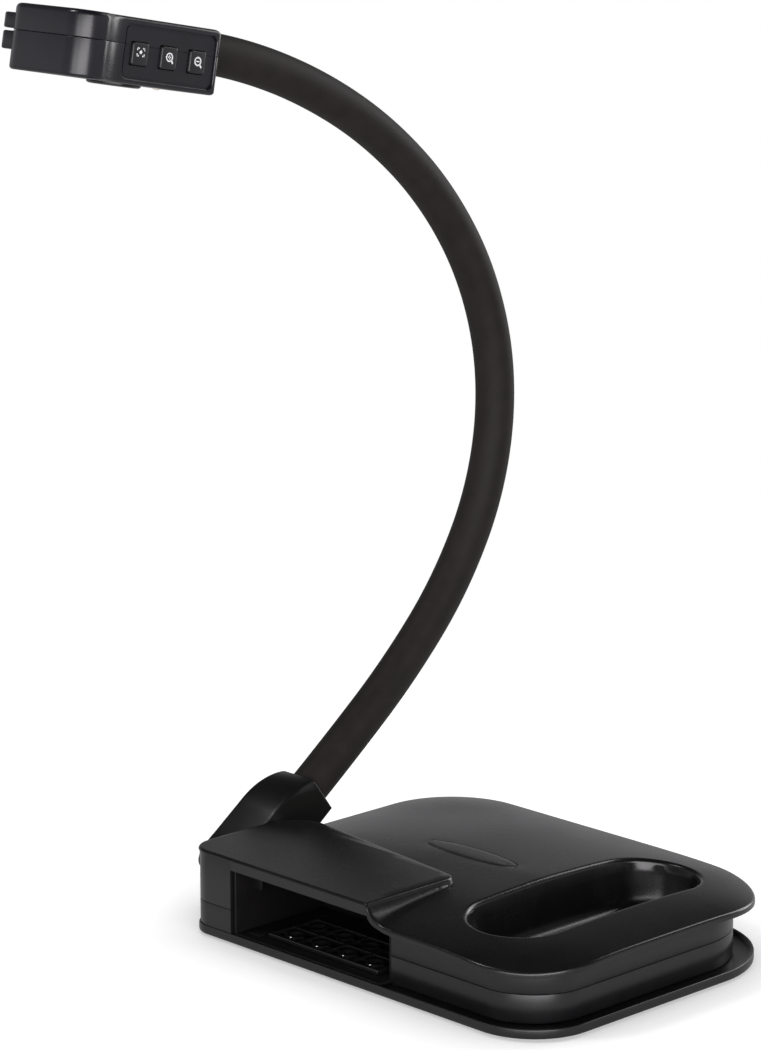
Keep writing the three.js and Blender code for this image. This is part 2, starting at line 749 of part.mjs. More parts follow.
// Half of the thumb lug at the front left corner.
function lug(z0, z1) {
  return slab(roundedRectangle(-33, -22, -86, -77.5, [3, 0.5, 0.5, 3]), z0, z1, 4);
}

function headUpperShell() {
  const walls = slab(headShape(0), HEAD_SEAM + GAP / 2, HEAD_HALF_HEIGHT);
  const outside = join(walls, lug(HEAD_SEAM + 0.6, 10.4));
  const inside = slab(headShape(HEAD_WALL), HEAD_SEAM - 1, HEAD_HALF_HEIGHT - HEAD_WALL);
  const shell = cut(outside, inside, recessTool(), neckHole(), ...buttonHoles());
  return piece('head_upper_shell', surface(shell), 'casing');
}

function headLowerShell() {
  const walls = slab(headShape(0), -HEAD_HALF_HEIGHT, HEAD_SEAM - GAP / 2);
  const outside = join(walls, lug(-6.2, HEAD_SEAM - 0.6));
  const inside = slab(headShape(HEAD_WALL), -HEAD_HALF_HEIGHT + HEAD_WALL, HEAD_SEAM + 1);
  const lensHole = post(0, LENS_Y, -20, 0, 10 + GAP);
  const lampHole = post(0, LAMP_Y, -20, 0, 2.4 + GAP, 12);
  const shell = cut(outside, inside, recessTool(), neckHole(), lensHole, lampHole, ...buttonHoles());
  return piece('head_lower_shell', surface(shell), 'casing');
}

// An upright block on one button's centre, given by how far it reaches each way.
const onButton = (x0, x1, y, halfY, halfZ) =>
  block(x0, x1, y - halfY, y + halfY, BUTTON_Z - halfZ, BUTTON_Z + halfZ);

// A cap with a flange behind the wall, and a stem that stops short of its switch.
function button(name, y) {
  const halfY = BUTTON_WIDTH / 2;
  const halfZ = BUTTON_HEIGHT / 2;
  const face = HEAD_REAR_HALF + 0.4;
  const cap = onButton(face - 4, face, y, halfY, halfZ);
  const flange = onButton(face - 4, face - 3, y, halfY + 0.9, halfZ + 0.9);
  const stem = onButton(face - 5, face - 3.4, y, 1.5, 1.5);
  return piece(name, surface(join(cap, flange, stem)), 'button');
}

function buttonBoard() {
  const board = block(13.2, 14.4, -55, -10, -6, 4);
  const switches = BUTTON_Y.map((y) => onButton(14.2, 16, y, 3, 3));
  return piece('button_board', surface(join(board, ...switches)), 'board');
}

// Turns a profile of radius and height about the lens's upright axis.
function turned(profile, y, sides = 20) {
  const points = profile.map(([radius, z]) => new THREE.Vector2(radius, z));
  const lathe = new THREE.LatheGeometry([...points, points[0]], sides);
  return surface(solid(lathe.rotateX(Math.PI / 2).translate(0, y, 0)));
}

function lensRing() {
  const profile = [
    [7.8, -16.5],
    [12.4, -16.3],
    [13, -15.3],
    [10, -15.3],
    [10, -11],
    [7.8, -11],
  ];
  return piece('lens_ring', turned(profile, LENS_Y), 'casing');
}

function lensBarrel() {
  const profile = [
    [6.2, -15],
    [7.4, -15],
    [7.4, 1.8],
    [5, 1.8],
    [5, -11.8],
    [6.2, -11.8],
  ];
  return piece('lens_barrel', turned(profile, LENS_Y), 'casing');
}

function lensGlass() {
  const profile = [
    [0, -14.4],
    [3.5, -14],
    [5.8, -13.2],
    [5.8, -12.1],
    [0, -12.1],
  ];
  return piece('lens_glass', turned(profile, LENS_Y), 'glass');
}

function sensorBoard() {
  const board = block(-13, 5, -62, -24, 3.4, 5);
  const sensor = block(-4, 4, LENS_Y - 4, LENS_Y + 4, 2.3, 4);
  return piece('sensor_board', surface(join(board, sensor)), 'board');
}

function lampPieces() {
  const bulb = new THREE.SphereGeometry(2.4, 10, 6);
  const dome = join(solid(bulb.translate(0, LAMP_Y, -13.4)), post(0, LAMP_Y, -13.4, -9, 2.2, 10));
  const board = block(-5, 5, LAMP_Y - 5, LAMP_Y + 5, -8.7, -7.5);
  return [piece('lamp_led', surface(dome), 'lamp'), piece('lamp_board', surface(board), 'board')];
}

const BUTTON_NAMES = ['focus_button', 'zoom_in_button', 'zoom_out_button'];

function cameraHead(neckEnd) {
  const head = new THREE.Group();
  head.add(headUpperShell(), headLowerShell(), buttonBoard(), sensorBoard());
  head.add(lensRing(), lensBarrel(), lensGlass(), ...lampPieces());
  BUTTON_Y.forEach((y, index) => head.add(button(BUTTON_NAMES[index], y)));
  const tilt = (HEAD_TILT * Math.PI) / 180;
  head.rotation.x = -tilt;
  head.position.set(
    ARM_X,
    neckEnd.y + HEAD_ABOVE_NECK * Math.sin(tilt),
    neckEnd.z + HEAD_ABOVE_NECK * Math.cos(tilt),
  );
  return head;
}

// ---- Assembly ----------------------------------------------------------------------------

const camera = new THREE.Group();
camera.add(bottomTray(), ...feet(), ...trayScrews());
camera.add(lowerShell(), upperShell(), topCover(), badge());
camera.add(bayLiner(), bayGrille(), ballastPlate(), mainBoard(), usbSocket(), processorCan());
camera.add(hingeBracket(), hingePin(), hingeNut(), ...armShells(), armCore());
camera.add(frictionWasher('friction_washer_inner', ARM_X + 5.4, ARM_X + 6.6));
camera.add(frictionWasher('friction_washer_outer', ARM_X - 5.6, ARM_X - 5.3));

const arcs = neckArcs();
camera.add(...arcs.map((arc, index) => neckLink(arc, index, arcs.length)));
camera.add(cameraHead(arcs[arcs.length - 1].end));

export default camera;
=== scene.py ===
# Document camera: the fine surfaces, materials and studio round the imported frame.
# Shapes are given in millimetres until they become meshes. Lamps and camera are placed in metres.

import math

import bmesh
import bpy
import numpy as np
from mathutils import Matrix, Vector
from mathutils.geometry import delaunay_2d_cdt

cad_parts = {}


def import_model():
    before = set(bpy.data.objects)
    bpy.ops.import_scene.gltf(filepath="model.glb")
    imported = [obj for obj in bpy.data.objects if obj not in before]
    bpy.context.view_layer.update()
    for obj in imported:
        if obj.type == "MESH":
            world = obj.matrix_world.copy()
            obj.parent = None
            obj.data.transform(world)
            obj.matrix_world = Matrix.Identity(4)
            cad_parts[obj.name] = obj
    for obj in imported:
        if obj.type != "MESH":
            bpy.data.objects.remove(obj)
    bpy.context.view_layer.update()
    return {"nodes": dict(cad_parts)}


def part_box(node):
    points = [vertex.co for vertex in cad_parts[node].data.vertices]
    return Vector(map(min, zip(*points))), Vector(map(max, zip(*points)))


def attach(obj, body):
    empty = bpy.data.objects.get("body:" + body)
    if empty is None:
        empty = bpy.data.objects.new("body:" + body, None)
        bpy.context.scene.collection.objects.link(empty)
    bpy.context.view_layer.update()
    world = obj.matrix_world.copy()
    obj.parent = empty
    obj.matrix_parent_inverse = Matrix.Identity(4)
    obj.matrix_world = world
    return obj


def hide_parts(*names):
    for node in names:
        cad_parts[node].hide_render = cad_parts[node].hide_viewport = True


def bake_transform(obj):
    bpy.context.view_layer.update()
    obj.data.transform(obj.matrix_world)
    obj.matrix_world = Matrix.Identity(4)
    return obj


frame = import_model()
MM = 0.001

# ---- Dimensions, most of them the CAD model's --------------------------------------------

BASE_X, BASE_Y = 115.0, 90.0
FRONT_LEFT_CORNER, COVER_CORNER, TRAY_CORNER, BACK_CORNER = 13.0, 42.0, 33.0, 52.0
DRUM_X, DRUM_Y, DRUM_CORNER = 105.0, 80.0, 30.0
BLOCK_X, BLOCK_Y, BLOCK_BACK = 114.5, 89.5, -33.0
BAY_EDGE_LEFT, BAY_EDGE_RIGHT, BAY_EDGE_BACK = -84.9, 14.5, -28.1
SEAM_Z = 16.2
RIM_Z, RIM_THICK, DOME_RISE, DOME_REACH = 33.0, 1.9, 7.4, 38.0
CORNER_DROOP = 9.0  # fall of the rim towards the right-hand corners
PLATFORM_Z = 41.8
COVER_EDGE, GRIP_EDGE = 1.3, 2.2  # radii of the rounded edges of the rim and of the grip's mouth
GRIP_X, GRIP_Y, GRIP_RADIUS, GRIP_HALF = 59.0, 2.0, 24.5, 43.0
# The grip's wall leans a little and curves into its floor: height by distance in.
GRIP_WALL_INSET = (0.9, 1.3, 1.9, 2.5, 3.3, 4.3, 5.5, 7.0, 9.0)
GRIP_WALL_Z = (32.4, 29.0, 25.0, 21.6, 18.4, 16.4, 15.1, 14.3, 14.0)
BADGE_X, BADGE_Y, BADGE_LONG, BADGE_WIDE = -16.0, 3.5, 29.0, 7.0
# The groove round the badge: depth by distance in from the badge's outline.
BADGE_GROOVE_INSET = (-0.55, -0.4, 0.0, 0.15)
BADGE_GROOVE_DEPTH = (0, 0.4, 0.4, 0)

ARM_LEFT, ARM_X, ARM_WIDTH = -139.5, -127.5, 24.0
ARM_DROP = 4.2  # how much lower the block's top is on its right side
ARM_END_HALF = 10.6  # half the height of the end the neck grows out of
NECK_RADIUS, LINK_LENGTH = 9.9, 53.4
NECK_ROOT_DEPTH, NECK_TIP_DEPTH = 3.0, 1.5  # how far the sleeve goes into the block and the head
NECK_START_Y, NECK_START_Z, NECK_HEADING = 0.5, 48.0, math.radians(36.3)
NECK_BENDS = (2, 8, 15, 21, 22, 19, 15, 12, 10, 10)

HEAD_TILT, HEAD_ABOVE_NECK = math.radians(10.5), -4.5
HEAD_LENGTH, HEAD_HALF_HEIGHT = 88.3, 15.0
HEAD_REAR_HALF, HEAD_FRONT_HALF, HEAD_CORNER = 21.8, 26.9, 11.0
HEAD_SEAM = 2.7
LENS_Y, LAMP_Y = -43.0, -17.0
BUTTON_Z, BUTTON_FACE = -1.0, 22.2
BUTTONS = {"focus_button": -48.2, "zoom_in_button": -30.9, "zoom_out_button": -13.6}
SEAM_GAP, HEAD_SEAM_GAP = 0.1, 0.08  # half the width of each parting line
FLOOR_Z = -1.25
AXIS = 0.01  # radius that stands for the axis in a turned profile

# ---- Mesh helpers ------------------------------------------------------------------------


def mesh_object(name, verts, faces, sharp=35.0):
    """A closed mesh from points in millimetres, with its normals facing out."""
    mesh = bpy.data.meshes.new(name)
    mesh.from_pydata([tuple(v) for v in np.asarray(verts, float) * MM], [], faces)
    work = bmesh.new()
    work.from_mesh(mesh)
    bmesh.ops.remove_doubles(work, verts=work.verts, dist=1e-7)
    bmesh.ops.recalc_face_normals(work, faces=work.faces)
    work.to_mesh(mesh)
    work.free()
    mesh.shade_smooth()
    mesh.set_sharp_from_angle(angle=math.radians(sharp))
    thing = bpy.data.objects.new(name, mesh)
    bpy.context.scene.collection.objects.link(thing)
    return thing


def loft(name, rings, loop=False, sharp=35.0):
    """Skins rings of equal length; a loop joins the last ring to the first, else ends are capped."""
    rings = [np.asarray(r, float) for r in rings]
    count = len(rings[0])
    faces = []
    for i in range(len(rings) if loop else len(rings) - 1):
        a, b = i * count, (i + 1) % len(rings) * count
        for j in range(count):
            k = (j + 1) % count
            faces.append((a + j, a + k, b + k, b + j))
    if not loop:
        top = (len(rings) - 1) * count
        faces.append(tuple(range(count - 1, -1, -1)))
        faces.append(tuple(range(top, top + count)))
    return mesh_object(name, np.vstack(rings), faces, sharp)


def rounded_path(corners, closed=True, step=6.0):
    """Points and outward normals along a counterclockwise path of (x, y, radius) corners."""
    points, normals = [], []
    count = len(corners)
    for i, (x, y, radius) in enumerate(corners):
        here = np.array([x, y], float)
        before = np.array(corners[i - 1][:2], float)
        after = np.array(corners[(i + 1) % count][:2], float)
        if not closed and i in (0, count - 1):
            along = after - here if i == 0 else here - before
            along /= np.linalg.norm(along)
            points.append(here)
            normals.append(np.array([along[1], -along[0]]))
            continue
        u = (here - before) / np.linalg.norm(here - before)
        v = (after - here) / np.linalg.norm(after - here)
        turn = math.atan2(u[0] * v[1] - u[1] * v[0], float(u @ v))
        side = 1.0 if turn > 0 else -1.0
        start = here - u * radius * math.tan(abs(turn) / 2)
        spoke = side * np.array([u[1], -u[0]])
        centre = start - spoke * radius
        for t in np.linspace(0, turn, max(3, math.ceil(abs(turn) / math.radians(step)) + 1)):
            c, s = math.cos(t), math.sin(t)
            d = np.array([spoke[0] * c - spoke[1] * s, spoke[0] * s + spoke[1] * c])
            points.append(centre + d * radius)
            normals.append(side * d)
    return np.array(points), np.array(normals)


def fill_in(path, gap, fine=None):
    """Adds points along a closed path's long stretches; inside the fine box they are a third as far apart."""
    points, normals = [], []
    count = len(path[0])
    for i in range(count):
        a, b = path[0][i], path[0][(i + 1) % count]
        m, n = path[1][i], path[1][(i + 1) % count]
        steps = max(1, math.ceil(np.linalg.norm(b - a) / (gap / 3)))
        for k in range(steps):
            p = a + (b - a) * k / steps
            inside = fine and fine[0] < p[0] < fine[1] and fine[2] < p[1] < fine[3]
            if k % 3 == 0 or inside:
                points.append(p)
                normals.append(m + (n - m) * k / steps)
    return np.array(points), np.array(normals)


def ring_points(path, offset):
    return path[0] + path[1] * offset


def level(path, offset, z):
    """The path moved out by an offset and set at a height."""
    flat = ring_points(path, offset)
    return np.column_stack([flat, np.full(len(flat), z)])


def upright(path, offset, x):
    """The same for a path in Y and Z, set at a place along X."""
    flat = ring_points(path, offset)
    return np.column_stack([np.full(len(flat), x), flat])


def sweep(name, path, profile):
    """Carries a closed profile of (offset, z) along an open path in plan."""
    rings = []
    for point, normal in zip(*path):
        rings.append([[*(point + normal * off), z] for off, z in profile])
    return loft(name, rings)


def rounded_box(name, low, high, radius):
    """A box with every edge rounded."""
    work = bmesh.new()
    bmesh.ops.create_cube(work, size=1.0)
    low, high = np.array(low, float), np.array(high, float)
    for vert in work.verts:
        vert.co = Vector(((low + high) / 2 + np.array(vert.co) * (high - low)) * MM)
    bmesh.ops.bevel(
        work, geom=work.edges[:], offset=radius * MM, segments=3, profile=0.5, affect="EDGES"
    )
    mesh = bpy.data.meshes.new(name)
    work.to_mesh(mesh)
    work.free()
    mesh.shade_smooth()
    mesh.set_sharp_from_angle(angle=math.radians(50))
    thing = bpy.data.objects.new(name, mesh)
    bpy.context.scene.collection.objects.link(thing)
    return thing


def turned(name, profile, centre, sides=64, place=None):
    """Turns a closed profile of (radius, z) about an upright axis."""
    rings = []
    for i in range(sides):
        angle = 2 * math.pi * i / sides
        c, s = math.cos(angle), math.sin(angle)
        rings.append([[centre[0] + r * c, centre[1] + r * s, z] for r, z in profile])
    thing = loft(name, rings, loop=True, sharp=30)
    if place is not None:
        thing.data.transform(place)
    return thing


def plug(radius, low, high, centre, sides=64):
    """An upright cylinder for cutting a round hole."""
    return turned("plug", [(AXIS, low), (radius, low), (radius, high), (AXIS, high)], centre, sides)


def boolean(thing, tool, operation="DIFFERENCE"):
    """Cuts or joins with another mesh, applies the result and deletes the other."""
    change = thing.modifiers.new("cut", "BOOLEAN")
    change.operation = operation
    change.solver = "MANIFOLD"
    change.object = tool
    graph = bpy.context.evaluated_depsgraph_get()
    mesh = bpy.data.meshes.new_from_object(thing.evaluated_get(graph))
    thing.modifiers.clear()
    thing.data = mesh
    bpy.data.objects.remove(tool)


# ---- Materials ---------------------------------------------------------------------------


def add_node(tree, kind, **settings):
    node = tree.nodes.new(kind)
    for key, value in settings.items():
        setattr(node, key, value)
    return node


def map_range(tree, value, to_min, to_max, from_min=0.0, from_max=1.0, kind="LINEAR"):
    """Maps a value from one range to another, and gives the socket with the result."""
    node = add_node(tree, "ShaderNodeMapRange", interpolation_type=kind)
    ends = {"From Min": from_min, "From Max": from_max, "To Min": to_min, "To Max": to_max}
    for socket, end in ends.items():
        node.inputs[socket].default_value = end
    tree.links.new(value, node.inputs["Value"])
    return node.outputs["Result"]


def surface(name, dark, light, rough, patch_mm=18.0, grain_mm=0.35, grain=0.05, metal=0.0,
            specular=0.5, coat=0.0):
    """A moulded surface: two close colours in soft patches, uneven gloss and a fine grain."""
    material = bpy.data.materials.new(name)
    material.use_nodes = True
    tree = material.node_tree
    shader = tree.nodes["Principled BSDF"]
    shader.inputs["Metallic"].default_value = metal
    shader.inputs["Specular IOR Level"].default_value = specular
    shader.inputs["Coat Weight"].default_value = coat
    shader.inputs["Coat Roughness"].default_value = 0.12
    place = add_node(tree, "ShaderNodeTexCoord")
    patches = add_node(tree, "ShaderNodeTexNoise")
    patches.inputs["Scale"].default_value = 1000.0 / patch_mm
    patches.inputs["Detail"].default_value = 4.0
    tree.links.new(place.outputs["Object"], patches.inputs["Vector"])
    colour = add_node(tree, "ShaderNodeValToRGB")
    colour.color_ramp.elements[0].position = 0.35
    colour.color_ramp.elements[0].color = (*dark, 1)
    colour.color_ramp.elements[1].position = 0.68
    colour.color_ramp.elements[1].color = (*light, 1)
    tree.links.new(patches.outputs["Fac"], colour.inputs["Fac"])
    tree.links.new(colour.outputs["Color"], shader.inputs["Base Color"])
    fine = add_node(tree, "ShaderNodeTexNoise")
    fine.inputs["Scale"].default_value = 1000.0 / grain_mm
    fine.inputs["Detail"].default_value = 2.0
    tree.links.new(place.outputs["Object"], fine.inputs["Vector"])
    gloss = map_range(tree, patches.outputs["Fac"], *rough)
    tree.links.new(gloss, shader.inputs["Roughness"])
    bump = add_node(tree, "ShaderNodeBump")
    bump.inputs["Strength"].default_value = grain
    bump.inputs["Distance"].default_value = 0.0001
    tree.links.new(fine.outputs["Fac"], bump.inputs["Height"])
    tree.links.new(bump.outputs["Normal"], shader.inputs["Normal"])
    return material


MATERIALS = {
    "cover": surface("cover_plastic", (0.0046, 0.0041, 0.0042), (0.0064, 0.0057, 0.0058),
                     (0.24, 0.30), grain=0.045),
    "casing": surface("casing_plastic", (0.0060, 0.0056, 0.0062), (0.0082, 0.0077, 0.0084),
                      (0.28, 0.36), grain=0.10),
    "head": surface("head_plastic", (0.0080, 0.0070, 0.0102), (0.0106, 0.0094, 0.0134),
                    (0.25, 0.31), grain=0.08),
    "arm": surface("arm_plastic", (0.0038, 0.0034, 0.0030), (0.0052, 0.0047, 0.0042),
                   (0.28, 0.35), grain=0.05),
    "liner": surface("liner_plastic", (0.0030, 0.0026, 0.0026), (0.0045, 0.0038, 0.0036),
                     (0.45, 0.58), grain=0.15, specular=0.22),
    "gloss": surface("gloss_plastic", (0.0060, 0.0060, 0.0065), (0.0080, 0.0080, 0.0085),
                     (0.12, 0.18), grain=0.02),
    "sleeve": surface("sleeve_rubber", (0.0100, 0.0080, 0.0069), (0.0142, 0.0114, 0.0099),
                      (0.60, 0.70), patch_mm=9.0, grain_mm=0.5, grain=0.30, specular=0.25),
    "rubber": surface("foot_rubber", (0.006, 0.006, 0.006), (0.012, 0.012, 0.012),
                      (0.75, 0.9), grain=0.3),
    "steel": surface("plated_steel", (0.40, 0.41, 0.42), (0.50, 0.51, 0.52),
                     (0.28, 0.40), metal=1.0, grain=0.04),
    "socket": surface("socket_steel", (0.62, 0.63, 0.65), (0.72, 0.73, 0.75),
                      (0.18, 0.28), metal=1.0, grain=0.02),
    "board": surface("solder_mask", (0.010, 0.075, 0.026), (0.014, 0.105, 0.036),
                     (0.30, 0.40), grain=0.05),
    "button": surface("button_plastic", (0.0085, 0.0080, 0.0095), (0.0115, 0.0108, 0.0125),
                      (0.34, 0.42), grain=0.08),
    "ink": surface("white_ink", (0.74, 0.74, 0.76), (0.82, 0.82, 0.84), (0.45, 0.55), grain=0.03),
    "lamp": surface("lamp_lens", (0.80, 0.78, 0.68), (0.88, 0.86, 0.78), (0.08, 0.14), grain=0.01),
    "glass": surface("lens_glass", (0.004, 0.005, 0.012), (0.008, 0.010, 0.022),
                     (0.03, 0.06), grain=0.0, coat=1.0),
}


def paint(thing, material):
    thing.data.materials.clear()
    thing.data.materials.append(MATERIALS[material])


def finish_piece(thing, body, material, slot, *nodes):
    """Gives a piece its material and body, and hides the CAD nodes it stands for; the slot argument is not
    used.
    """
    paint(thing, material)
    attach(thing, body)
    if nodes:
        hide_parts(*nodes)


# ---- Top cover ---------------------------------------------------------------------------

COVER_PATH = [
    (-BASE_X, -BASE_Y, FRONT_LEFT_CORNER),
    (BASE_X, -BASE_Y, COVER_CORNER),
    (BASE_X, BASE_Y, BACK_CORNER),
    (-BASE_X, BASE_Y, COVER_CORNER),
]
PLATFORM_CORNERS = [
    (-150.0, -130.0, 1.0),
    (8.5, -130.0, 1.0),
    (8.5, -31.3, 7.0),
    (-104.0, -18.0, 14.0),
    (-124.0, -44.0, 1.0),
]
PLATFORM_EDGE = 1.4  # radius of the rounded edge round the platform
PLATFORM_PATH = rounded_path(PLATFORM_CORNERS, step=4.0)
RAMP_BOX = (4.0, 28.0, -95.0, -28.0)  # where the cover's plan needs its closest points
HELD_INSIDE = 0.02  # the platform's lines stop this far inside the cover's outline


def rim_inset(x, y):
    """How far in from the cover's outline a point is."""
    corner = np.where((x < 0) & (y < 0), FRONT_LEFT_CORNER, COVER_CORNER)
    corner = np.where((x > 0) & (y > 0), BACK_CORNER, corner)
    qx = np.abs(x) - BASE_X + corner
    qy = np.abs(y) - BASE_Y + corner
    outside = np.hypot(np.maximum(qx, 0), np.maximum(qy, 0))
    return corner - outside - np.minimum(np.maximum(qx, qy), 0)


def round_edge(distance, radius):
    """How far a rounded edge has dropped at a distance in from it."""
    rest = np.clip(radius - distance, 0, radius)
    return radius - np.sqrt(radius**2 - rest**2)


def smooth_step(value, start, end):
    t = np.clip((value - start) / (end - start), 0, 1)
    return t * t * (3 - 2 * t)


def platform_inset(x, y):
    """Distance in from the platform's outline, negative outside."""
    points = PLATFORM_PATH[0]
    a, b = points, np.roll(points, -1, axis=0)
    best = np.full(len(x), 1e9)
    inside = np.zeros(len(x), bool)
    for (ax, ay), (bx, by) in zip(a, b):
        ex, ey = bx - ax, by - ay
        length = ex * ex + ey * ey
        if length < 1e-12:
            continue
        t = np.clip(((x - ax) * ex + (y - ay) * ey) / length, 0, 1)
        best = np.minimum(best, np.hypot(x - ax - t * ex, y - ay - t * ey))
        crosses = (ay > y) != (by > y)
        inside ^= crosses & (x < ax + (y - ay) * ex / (ey if ey else 1e-9))
    return np.where(inside, best, -best)


def dome_height(x, y):
    inset = rim_inset(x, y)
    broad = BASE_Y - np.hypot(np.maximum(np.abs(x) - (BASE_X - BASE_Y), 0), y)
    depth = inset + (broad - inset) * smooth_step(inset, 0, 60)
    droop = CORNER_DROOP * (np.maximum(x, 0) / BASE_X) ** 4 * (np.abs(y) / BASE_Y) ** 4
    return RIM_Z - droop + DOME_RISE * (1 - np.exp(-np.maximum(depth, 0) / DOME_REACH))


# Fall of the platform's right-hand end: a hollow curve of (distance out, height).
RAMP_TOP_Z, RAMP_HOLLOW, RAMP_FOOT = 40.4, (3.4, 34.0), (15.0, 32.6)
RAMP_T = np.linspace(0, 1, 60)
RAMP_OUT = 2 * RAMP_T * (1 - RAMP_T) * RAMP_HOLLOW[0] + RAMP_T**2 * RAMP_FOOT[0]
RAMP_Z = (
    (1 - RAMP_T) ** 2 * RAMP_TOP_Z + 2 * RAMP_T * (1 - RAMP_T) * RAMP_HOLLOW[1] + RAMP_T**2 * RAMP_FOOT[1]
)
RAMP_END_Y = (-33, -42)  # the ramp gives way to an upright wall between these
FILLET_REACH, FILLET_RISE = 1.4, 0.35  # softening where platform and dome meet


def cover_top(x, y):
    dome = dome_height(x, y)
    step = platform_inset(x, y)
    top = PLATFORM_Z - round_edge(np.maximum(step, 0), PLATFORM_EDGE)
    out = np.maximum(-step, 0)
    ramp = np.interp(out, RAMP_OUT, RAMP_Z, right=0)
    wall = np.maximum(PLATFORM_Z - PLATFORM_EDGE - 6 * out, 0)
    share = smooth_step(y, *RAMP_END_Y)
    outside = share * ramp + (1 - share) * wall
    raised = np.where(step >= 0, top, outside)
    near = np.maximum(FILLET_REACH - np.abs(dome - raised), 0) / FILLET_REACH
    height = np.maximum(dome, raised) + near * near * FILLET_RISE
    inset = rim_inset(x, y)
    height = height - round_edge(np.maximum(inset, 0), COVER_EDGE)
    grip = grip_inset(x, y)
    lip = height - round_edge(np.clip(-grip, 0, 9), GRIP_EDGE)
    hollow = np.interp(grip, GRIP_WALL_INSET, GRIP_WALL_Z)
    height = np.where(grip > GRIP_WALL_INSET[0], hollow, np.where(grip > -GRIP_EDGE, lip, height))
    groove = np.interp(badge_inset(x, y), BADGE_GROOVE_INSET, BADGE_GROOVE_DEPTH)
    return height - groove


def grip_inset(x, y):
    along = np.clip(y - GRIP_Y, -GRIP_HALF, GRIP_HALF)
    return GRIP_RADIUS - np.hypot(x - GRIP_X, y - GRIP_Y - along)


def badge_inset(x, y):
    """Distance in from the badge's oval, near its edge."""
    u, v = (x - BADGE_X) / BADGE_LONG, (y - BADGE_Y) / BADGE_WIDE
    f = u * u + v * v - 1
    slope = 2 * np.hypot(u / BADGE_LONG, v / BADGE_WIDE)
    return -f / np.maximum(slope, 1e-6)


# Thickness of the overhanging rim, by distance in from the outline.
RIM_INSET = (0, 0.3, 0.8, 2.0, 5.0, 9.5, 12.0, 12.6)
RIM_DEPTH = (RIM_THICK - 0.6, RIM_THICK - 0.15, RIM_THICK, 2.7, 4.5, 5.6, 5.6, 3.0)
RIM_WIDTH, SKIN, THINNEST = 12.5, 2.4, 1.5
# Roof of the storage bay, which comes down under the ramp: height by X.
BAY_ROOF_X = (8.5, 9.5, 11, 13.5, 17, 21)
BAY_ROOF_Z = (36, 34.6, 33.2, 32.0, 31.3, 30.9)


def cover_under(x, y, top):
    """Underside of the cover: a deep rim round a thin skin, and the roof over the bay."""
    inset = rim_inset(x, y)
    profile = np.interp(inset, RIM_INSET, RIM_DEPTH)
    low = dome_height(x, y) - DOME_RISE * (1 - np.exp(-np.maximum(inset, 0) / DOME_REACH)) - profile
    low = np.where(inset > RIM_WIDTH, top - SKIN, low)
    roof = np.interp(x, BAY_ROOF_X, BAY_ROOF_Z)
    in_bay = y < BAY_EDGE_BACK - 0.2
    low = np.where(in_bay & (x < BAY_ROOF_X[-1]), np.maximum(low, roof), low)
    low = np.minimum(low, top - THINNEST)
    lid = np.where(platform_inset(x, y) > -0.05, PLATFORM_Z - 1.0, -99)
    return np.where((inset < 0.53) & in_bay, np.maximum(low, lid), low)


def ellipse_points(grow):
    """The badge's oval, moved out by a distance."""
    angle = np.linspace(0, 2 * math.pi, 72, endpoint=False)
    base = np.column_stack([BADGE_X + BADGE_LONG * np.cos(angle), BADGE_Y + BADGE_WIDE * np.sin(angle)])
    normal = np.column_stack([np.cos(angle) / BADGE_LONG, np.sin(angle) / BADGE_WIDE])
    return base + normal / np.linalg.norm(normal, axis=1)[:, None] * grow


def pill_points(grow):
    """The grip recess's outline, moved out by a distance."""
    angle = np.linspace(0, math.pi, 26)
    radius = GRIP_RADIUS + grow
    upper = np.column_stack(
        [GRIP_X + radius * np.cos(angle), GRIP_Y + GRIP_HALF + radius * np.sin(angle)]
    )
    down = np.linspace(GRIP_HALF, -GRIP_HALF, 24)[1:-1]
    left = np.column_stack([np.full(22, GRIP_X - radius), GRIP_Y + down])
    half = np.vstack([upper, left])
    return np.vstack([half, 2 * np.array([GRIP_X, GRIP_Y]) - half])


